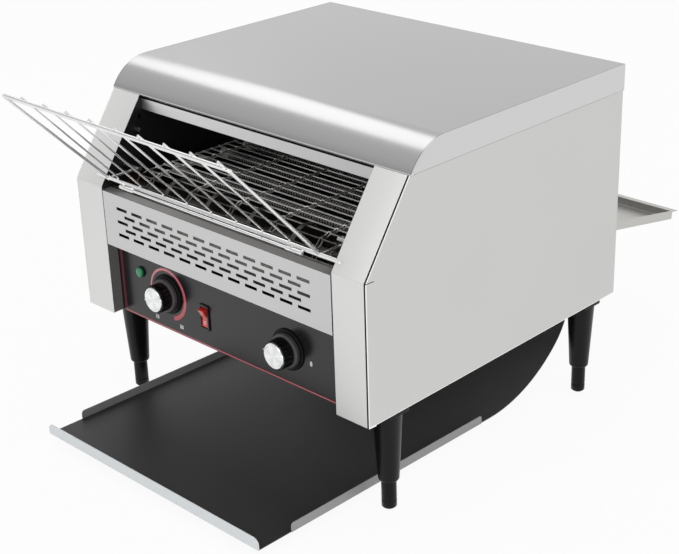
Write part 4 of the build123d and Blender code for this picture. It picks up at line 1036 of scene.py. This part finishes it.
def knob(node, pointer):
    """A fluted grip on a flat skirt, a rim round the silver cap, and a white pointer on the rim."""
    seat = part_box(node + "_cap")[1].y
    x, z = middle(node + "_cap").xz
    start = panel_y - 2.8 * MM
    grip = start - 5.0 * MM
    rim = seat - 1.2 * MM
    centre, grip_middle = Vector((x, 0, z)), Vector((x, grip, z))
    bm = bmesh.new()
    stand = Matrix.Translation(grip_middle) @ Matrix.Rotation(pi / 2, 4, "X")
    ring = bmesh.ops.create_circle(bm, cap_ends=True, radius=17.0 * MM,
                                   segments=flutes * len(flute_depths), matrix=stand)["verts"]
    for vert, depth in zip(ring, flute_depths * flutes):
        vert.co -= (vert.co - grip_middle).normalized() * depth
    edges = [e for e in bm.edges if e.is_boundary]
    rises = ((rim + 0.7 * MM - grip, 0.972), (-0.7 * MM, 0.955), (0, 15.1 / 15.78),
             (0.9 * MM, 0.995))
    for rise, scale in rises:
        edges = carry(bm, edges, (0, rise, 0), centre, scale)
    bmesh.ops.contextual_create(bm, geom=edges)
    outward(bm)
    keep(bm, node + "_grip", "knob_black", node, sharp=25)

    bm = bmesh.new()
    skirt = mm((0, 0), (20, 0), (20, 3.6), (19.3, 4.7), (18.6, 5), (0, 5))
    turned(bm, skirt, (x, start, z), (0, -1, 0), steps=96)
    spindle = rounded(0, panel_y - start + 6 * MM, 3 * MM, 0.4 * MM)
    turned(bm, spindle, (x, start, z), (0, 1, 0), steps=24)
    keep(bm, node + "_skirt", "skirt_painted_light", node, sharp=25)

    bm = bmesh.new()
    disc = mm((0, 0), (14.8, 0), (14.8, 1.2), (14.5, 1.7), (14.1, 2.0), (12.4, 2.0), (12.2, 1.85),
              (12.0, 2.0), (0, 2.0))
    turned(bm, disc, (x, seat, z), (0, -1, 0), steps=96)
    keep(bm, node + "_disc", "knob_silver", node + "_cap", sharp=25)

    bm = bmesh.new()
    mark = (x - 16.7 * MM, rim - 0.15 * MM, z - 0.6 * MM)
    block(bm, mark, (x - 15.2 * MM, rim + 6 * MM, z + 0.6 * MM))
    turn = Matrix.Rotation(radians(pointer), 4, "Y")
    bmesh.ops.rotate(bm, cent=centre, matrix=turn, verts=bm.verts)
    outward(bm)
    keep(bm, node + "_pointer", "white_print", node, rim=0.1 * MM)


knob("heat_knob", -14)
knob("speed_knob", 12)

bm = bmesh.new()
collar = mm((0, 0), (24, 0), (24, 1.4), (23.6, 2.1), (22.8, 2.5), (0, 2.5))
for x, z in ((heat_x, heat_z), (speed_x, speed_z)):
    turned(bm, collar, (x, panel_y, z), (0, -1, 0), steps=96)
keep(bm, "knob_collar_rings", "collar_black", "knob_collars", sharp=25)

# ---------------------------------------------------------------- pilot lamp, dial marks
bm = bmesh.new()
lamp_face = panel_y - 1.5 * MM
dome = mm((0, 0), (6.1, 0), (6.1, 1.4), (5.7, 2.3), (4.7, 2.95), (3.0, 3.2), (0, 3.25))
turned(bm, dome, (lamp_x, lamp_face, lamp_z), (0, -1, 0), steps=48)
keep(bm, "pilot_dome", "lamp_green", "pilot_lens", sharp=40)
bm = bmesh.new()
bezel = mm((0, 0), (6.9, 0), (6.9, 0.8), (6.6, 1.5), (6.2, 1.5), (6.15, 0.8), (0, 0.8))
lamp_place = (lamp_x, panel_y, lamp_z)
turned(bm, bezel, lamp_place, (0, -1, 0), steps=48)
turned(bm, rounded(0, 21.4 * MM, 5.4 * MM, 0.5 * MM), lamp_place, (0, 1, 0), steps=32)
turned(bm, rounded(1.6 * MM, 4.4 * MM, 8.6 * MM, 0.5 * MM), lamp_place, (0, 1, 0), steps=6)
keep(bm, "pilot_bezel", "black_plastic", "pilot_body", sharp=40)


def dial_mark(bm, number, x, z, size):
    """A printed number on the control panel."""
    line = bpy.data.curves.new("number", "FONT")
    line.body = number
    line.size = size
    line.align_x = "CENTER"
    line.align_y = "CENTER"
    line.extrude = 0.02 * MM
    line.offset = 0.3 * MM
    stand = Matrix.Translation((x, panel_y - 0.03 * MM, z))
    add_line(bm, line, stand @ Matrix.Rotation(pi / 2, 4, "X"))


bm = bmesh.new()
marks = (("10", -121.6, 135.4, 6.4), ("30", -77.7, 135.3, 6.4), ("8", 135.6, 160.4, 7.2))
for number, x, z, size in marks:
    dial_mark(bm, number, x * MM, z * MM, size * MM)
keep(bm, "dial_numbers", "white_print", "control_panel", sharp=30)

# ---------------------------------------------------------------- legs and feet
leg_flange = 7.5 * MM
leg_half = 16.8 * MM
legs_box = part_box("legs")
leg_low = legs_box[0].z
leg_top = bottom_z - leg_flange
leg_shape = [(0, leg_low), (10.0 * MM, leg_low), (11.0 * MM, leg_low + 0.4 * MM),
             (11.5 * MM, leg_low + 1.2 * MM), (11.7 * MM, leg_low + 2.6 * MM),
             (16.3 * MM, leg_top - 0.6 * MM), (16.5 * MM, leg_top), (0, leg_top)]
bm = bmesh.new()
for name in foot_nodes:
    x, y = middle(name).xy
    turned(bm, leg_shape, (x, y, 0), (0, 0, 1), steps=64)
    low = (x - leg_half, y - leg_half, leg_top)
    plate = block(bm, low, (x + leg_half, y + leg_half, bottom_z))
    edges = {e for v in plate for e in v.link_edges}
    upright = [e for e in edges if abs(e.verts[0].co.z - e.verts[1].co.z) > 1 * MM]
    round_off(bm, upright, 2.5 * MM)
outward(bm)
keep(bm, "tapered_legs", "leg_black", "legs", rim=0.5 * MM, sharp=40)

foot_shape = mm((0, 0), (6.4, 0), (8.2, 1.6), (8.4, 2.2), (8.4, 9.0), (7.8, 9.6), (7.8, 10.8),
                (8.4, 11.4), (8.4, 40.6), (8.0, 41.0), (4.0, 41.0), (4.0, 88.6), (3.6, 89.0),
                (0, 89.0))
for name in foot_nodes:
    x, y = middle(name).xy
    bm = bmesh.new()
    turned(bm, foot_shape, (x, y, 0), (0, 0, 1), steps=48)
    keep(bm, name + "_turned", "foot_black", name, sharp=30)

# ---------------------------------------------------------------- screws and cable gland
def screw(bm, x, z):
    """A pan head screw on the rear panel, with a cross recess."""
    head = mm((0, 0), (4.0, 0), (4.0, 0.6), (3.6, 1.3), (2.7, 1.85), (1.9, 2.0), (1.5, 1.2),
              (0, 1.0))
    turned(bm, head, (x, back, z), (0, 1, 0), steps=32)
    turned(bm, rounded(0, 6 * MM, 2.0 * MM, 0.4 * MM), (x, back, z), (0, -1, 0), steps=16)
    for turn in (0, pi / 2):
        low = (x - 0.35 * MM, back + 0.9 * MM, z - 1.7 * MM)
        wing = block(bm, low, (x + 0.35 * MM, back + 1.35 * MM, z + 1.7 * MM))
        bmesh.ops.rotate(bm, cent=(x, back, z), matrix=Matrix.Rotation(turn, 4, "Y"), verts=wing)


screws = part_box("panel_screws")
screw_radius = 4 * MM
screw_outer, screw_inner = screws[1].x - screw_radius, 75 * MM
bm = bmesh.new()
for z in (screws[0].z + screw_radius, screws[1].z - screw_radius):
    for x in (-screw_outer, -screw_inner, screw_inner, screw_outer):
        screw(bm, x, z)
keep(bm, "rear_screws", "screw_steel", "panel_screws", sharp=30)

gland = middle("cable_gland")
bm = bmesh.new()
gland_place = (gland.x, back, gland.z)
body = mm((0, 1), (4.0, 1), (4.0, 14), (6.4, 14), (7.4, 13.2), (8, 11.6), (8, 5.0), (0, 5.0))
turned(bm, body, gland_place, (0, 1, 0), steps=48)
turned(bm, rounded(0, 5 * MM, 11 * MM, 0.7 * MM), gland_place, (0, 1, 0), steps=6)
turned(bm, rounded(sheet, sheet + 5 * MM, 11 * MM, 0.7 * MM), gland_place, (0, -1, 0), steps=6)
thread = [(0, 5.8)]
for i in range(8):
    thread += [(7.3, 5.8 + 0.75 * i), (8.0, 6.15 + 0.75 * i)]
turned(bm, mm(*thread, (7.3, 11.9), (0, 11.9)), gland_place, (0, -1, 0), steps=40)
keep(bm, "cable_gland_body", "black_plastic", "cable_gland", rim=0.3 * MM, sharp=28)

# ---------------------------------------------------------------- rocker
def raised_top(bm):
    """Lifts the rocker's upper end further out of its frame."""
    verts = [v for v in bm.verts if v.co.z > rocker_z + 3 * MM and v.co.y < panel_y - 0.5 * MM]
    bmesh.ops.translate(bm, vec=(0, -2.6 * MM, 0), verts=verts)


softened("rocker_button", "rocker_red", 0.35 * MM, shape=raised_top)

# ---------------------------------------------------------------- pieces that keep their CAD shape
for node, finish, rim in (
    ("vent_panel", "vent_sheet", 0.3),
    ("opening_lintel", "lintel_sheet", 0.3),
    ("control_panel", "panel_print", 0.3),
    ("rear_panel", "rear_sheet", 0.25),
    ("base_plate", "plain_steel", 0.2),
    ("left_inner_wall", "chamber_black", 0.2),
    ("right_inner_wall", "chamber_black", 0.2),
    ("upper_reflector", "chamber_black", 0.2),
    ("lower_reflector", "chamber_black", 0.2),
    ("electrics_shield", "plain_steel", 0.2),
    ("chute_edging", "edging_steel", 0.3),
    ("chute_rails", "plain_steel", 0.25),
    ("tray_rails", "plain_steel", 0.25),
    ("rear_tray", "tray_steel", 0.3),
    ("toast_chute", "black_sheet", 0.25),
    ("rocker_frame", "black_plastic", 0.4),
    ("fan_frame", "black_plastic", 0.4),
    ("gear_motor", "motor_black", 0.5),
):
    softened(node, finish, rim * MM)

for node, finish in (
    ("shaft_bushes", "bronze"),
    ("fan_rotor", "black_plastic"),
    ("terminal_block", "ceramic"),
    ("speed_board", "board_green"),
    ("heat_switch", "motor_black"),
    ("speed_pot", "plain_steel"),
    ("rack_pins", "screw_steel"),
    ("leg_bolts", "screw_steel"),
    ("drive_chain", "plain_steel"),
    ("drive_shaft", "dull_steel"),
    ("drive_wheels", "dull_steel"),
    ("chain_wheel", "dull_steel"),
    ("idler_shaft", "dull_steel"),
    ("idler_wheels", "dull_steel"),
    ("motor_sprocket", "dull_steel"),
):
    dress(frame["nodes"][node], finish)
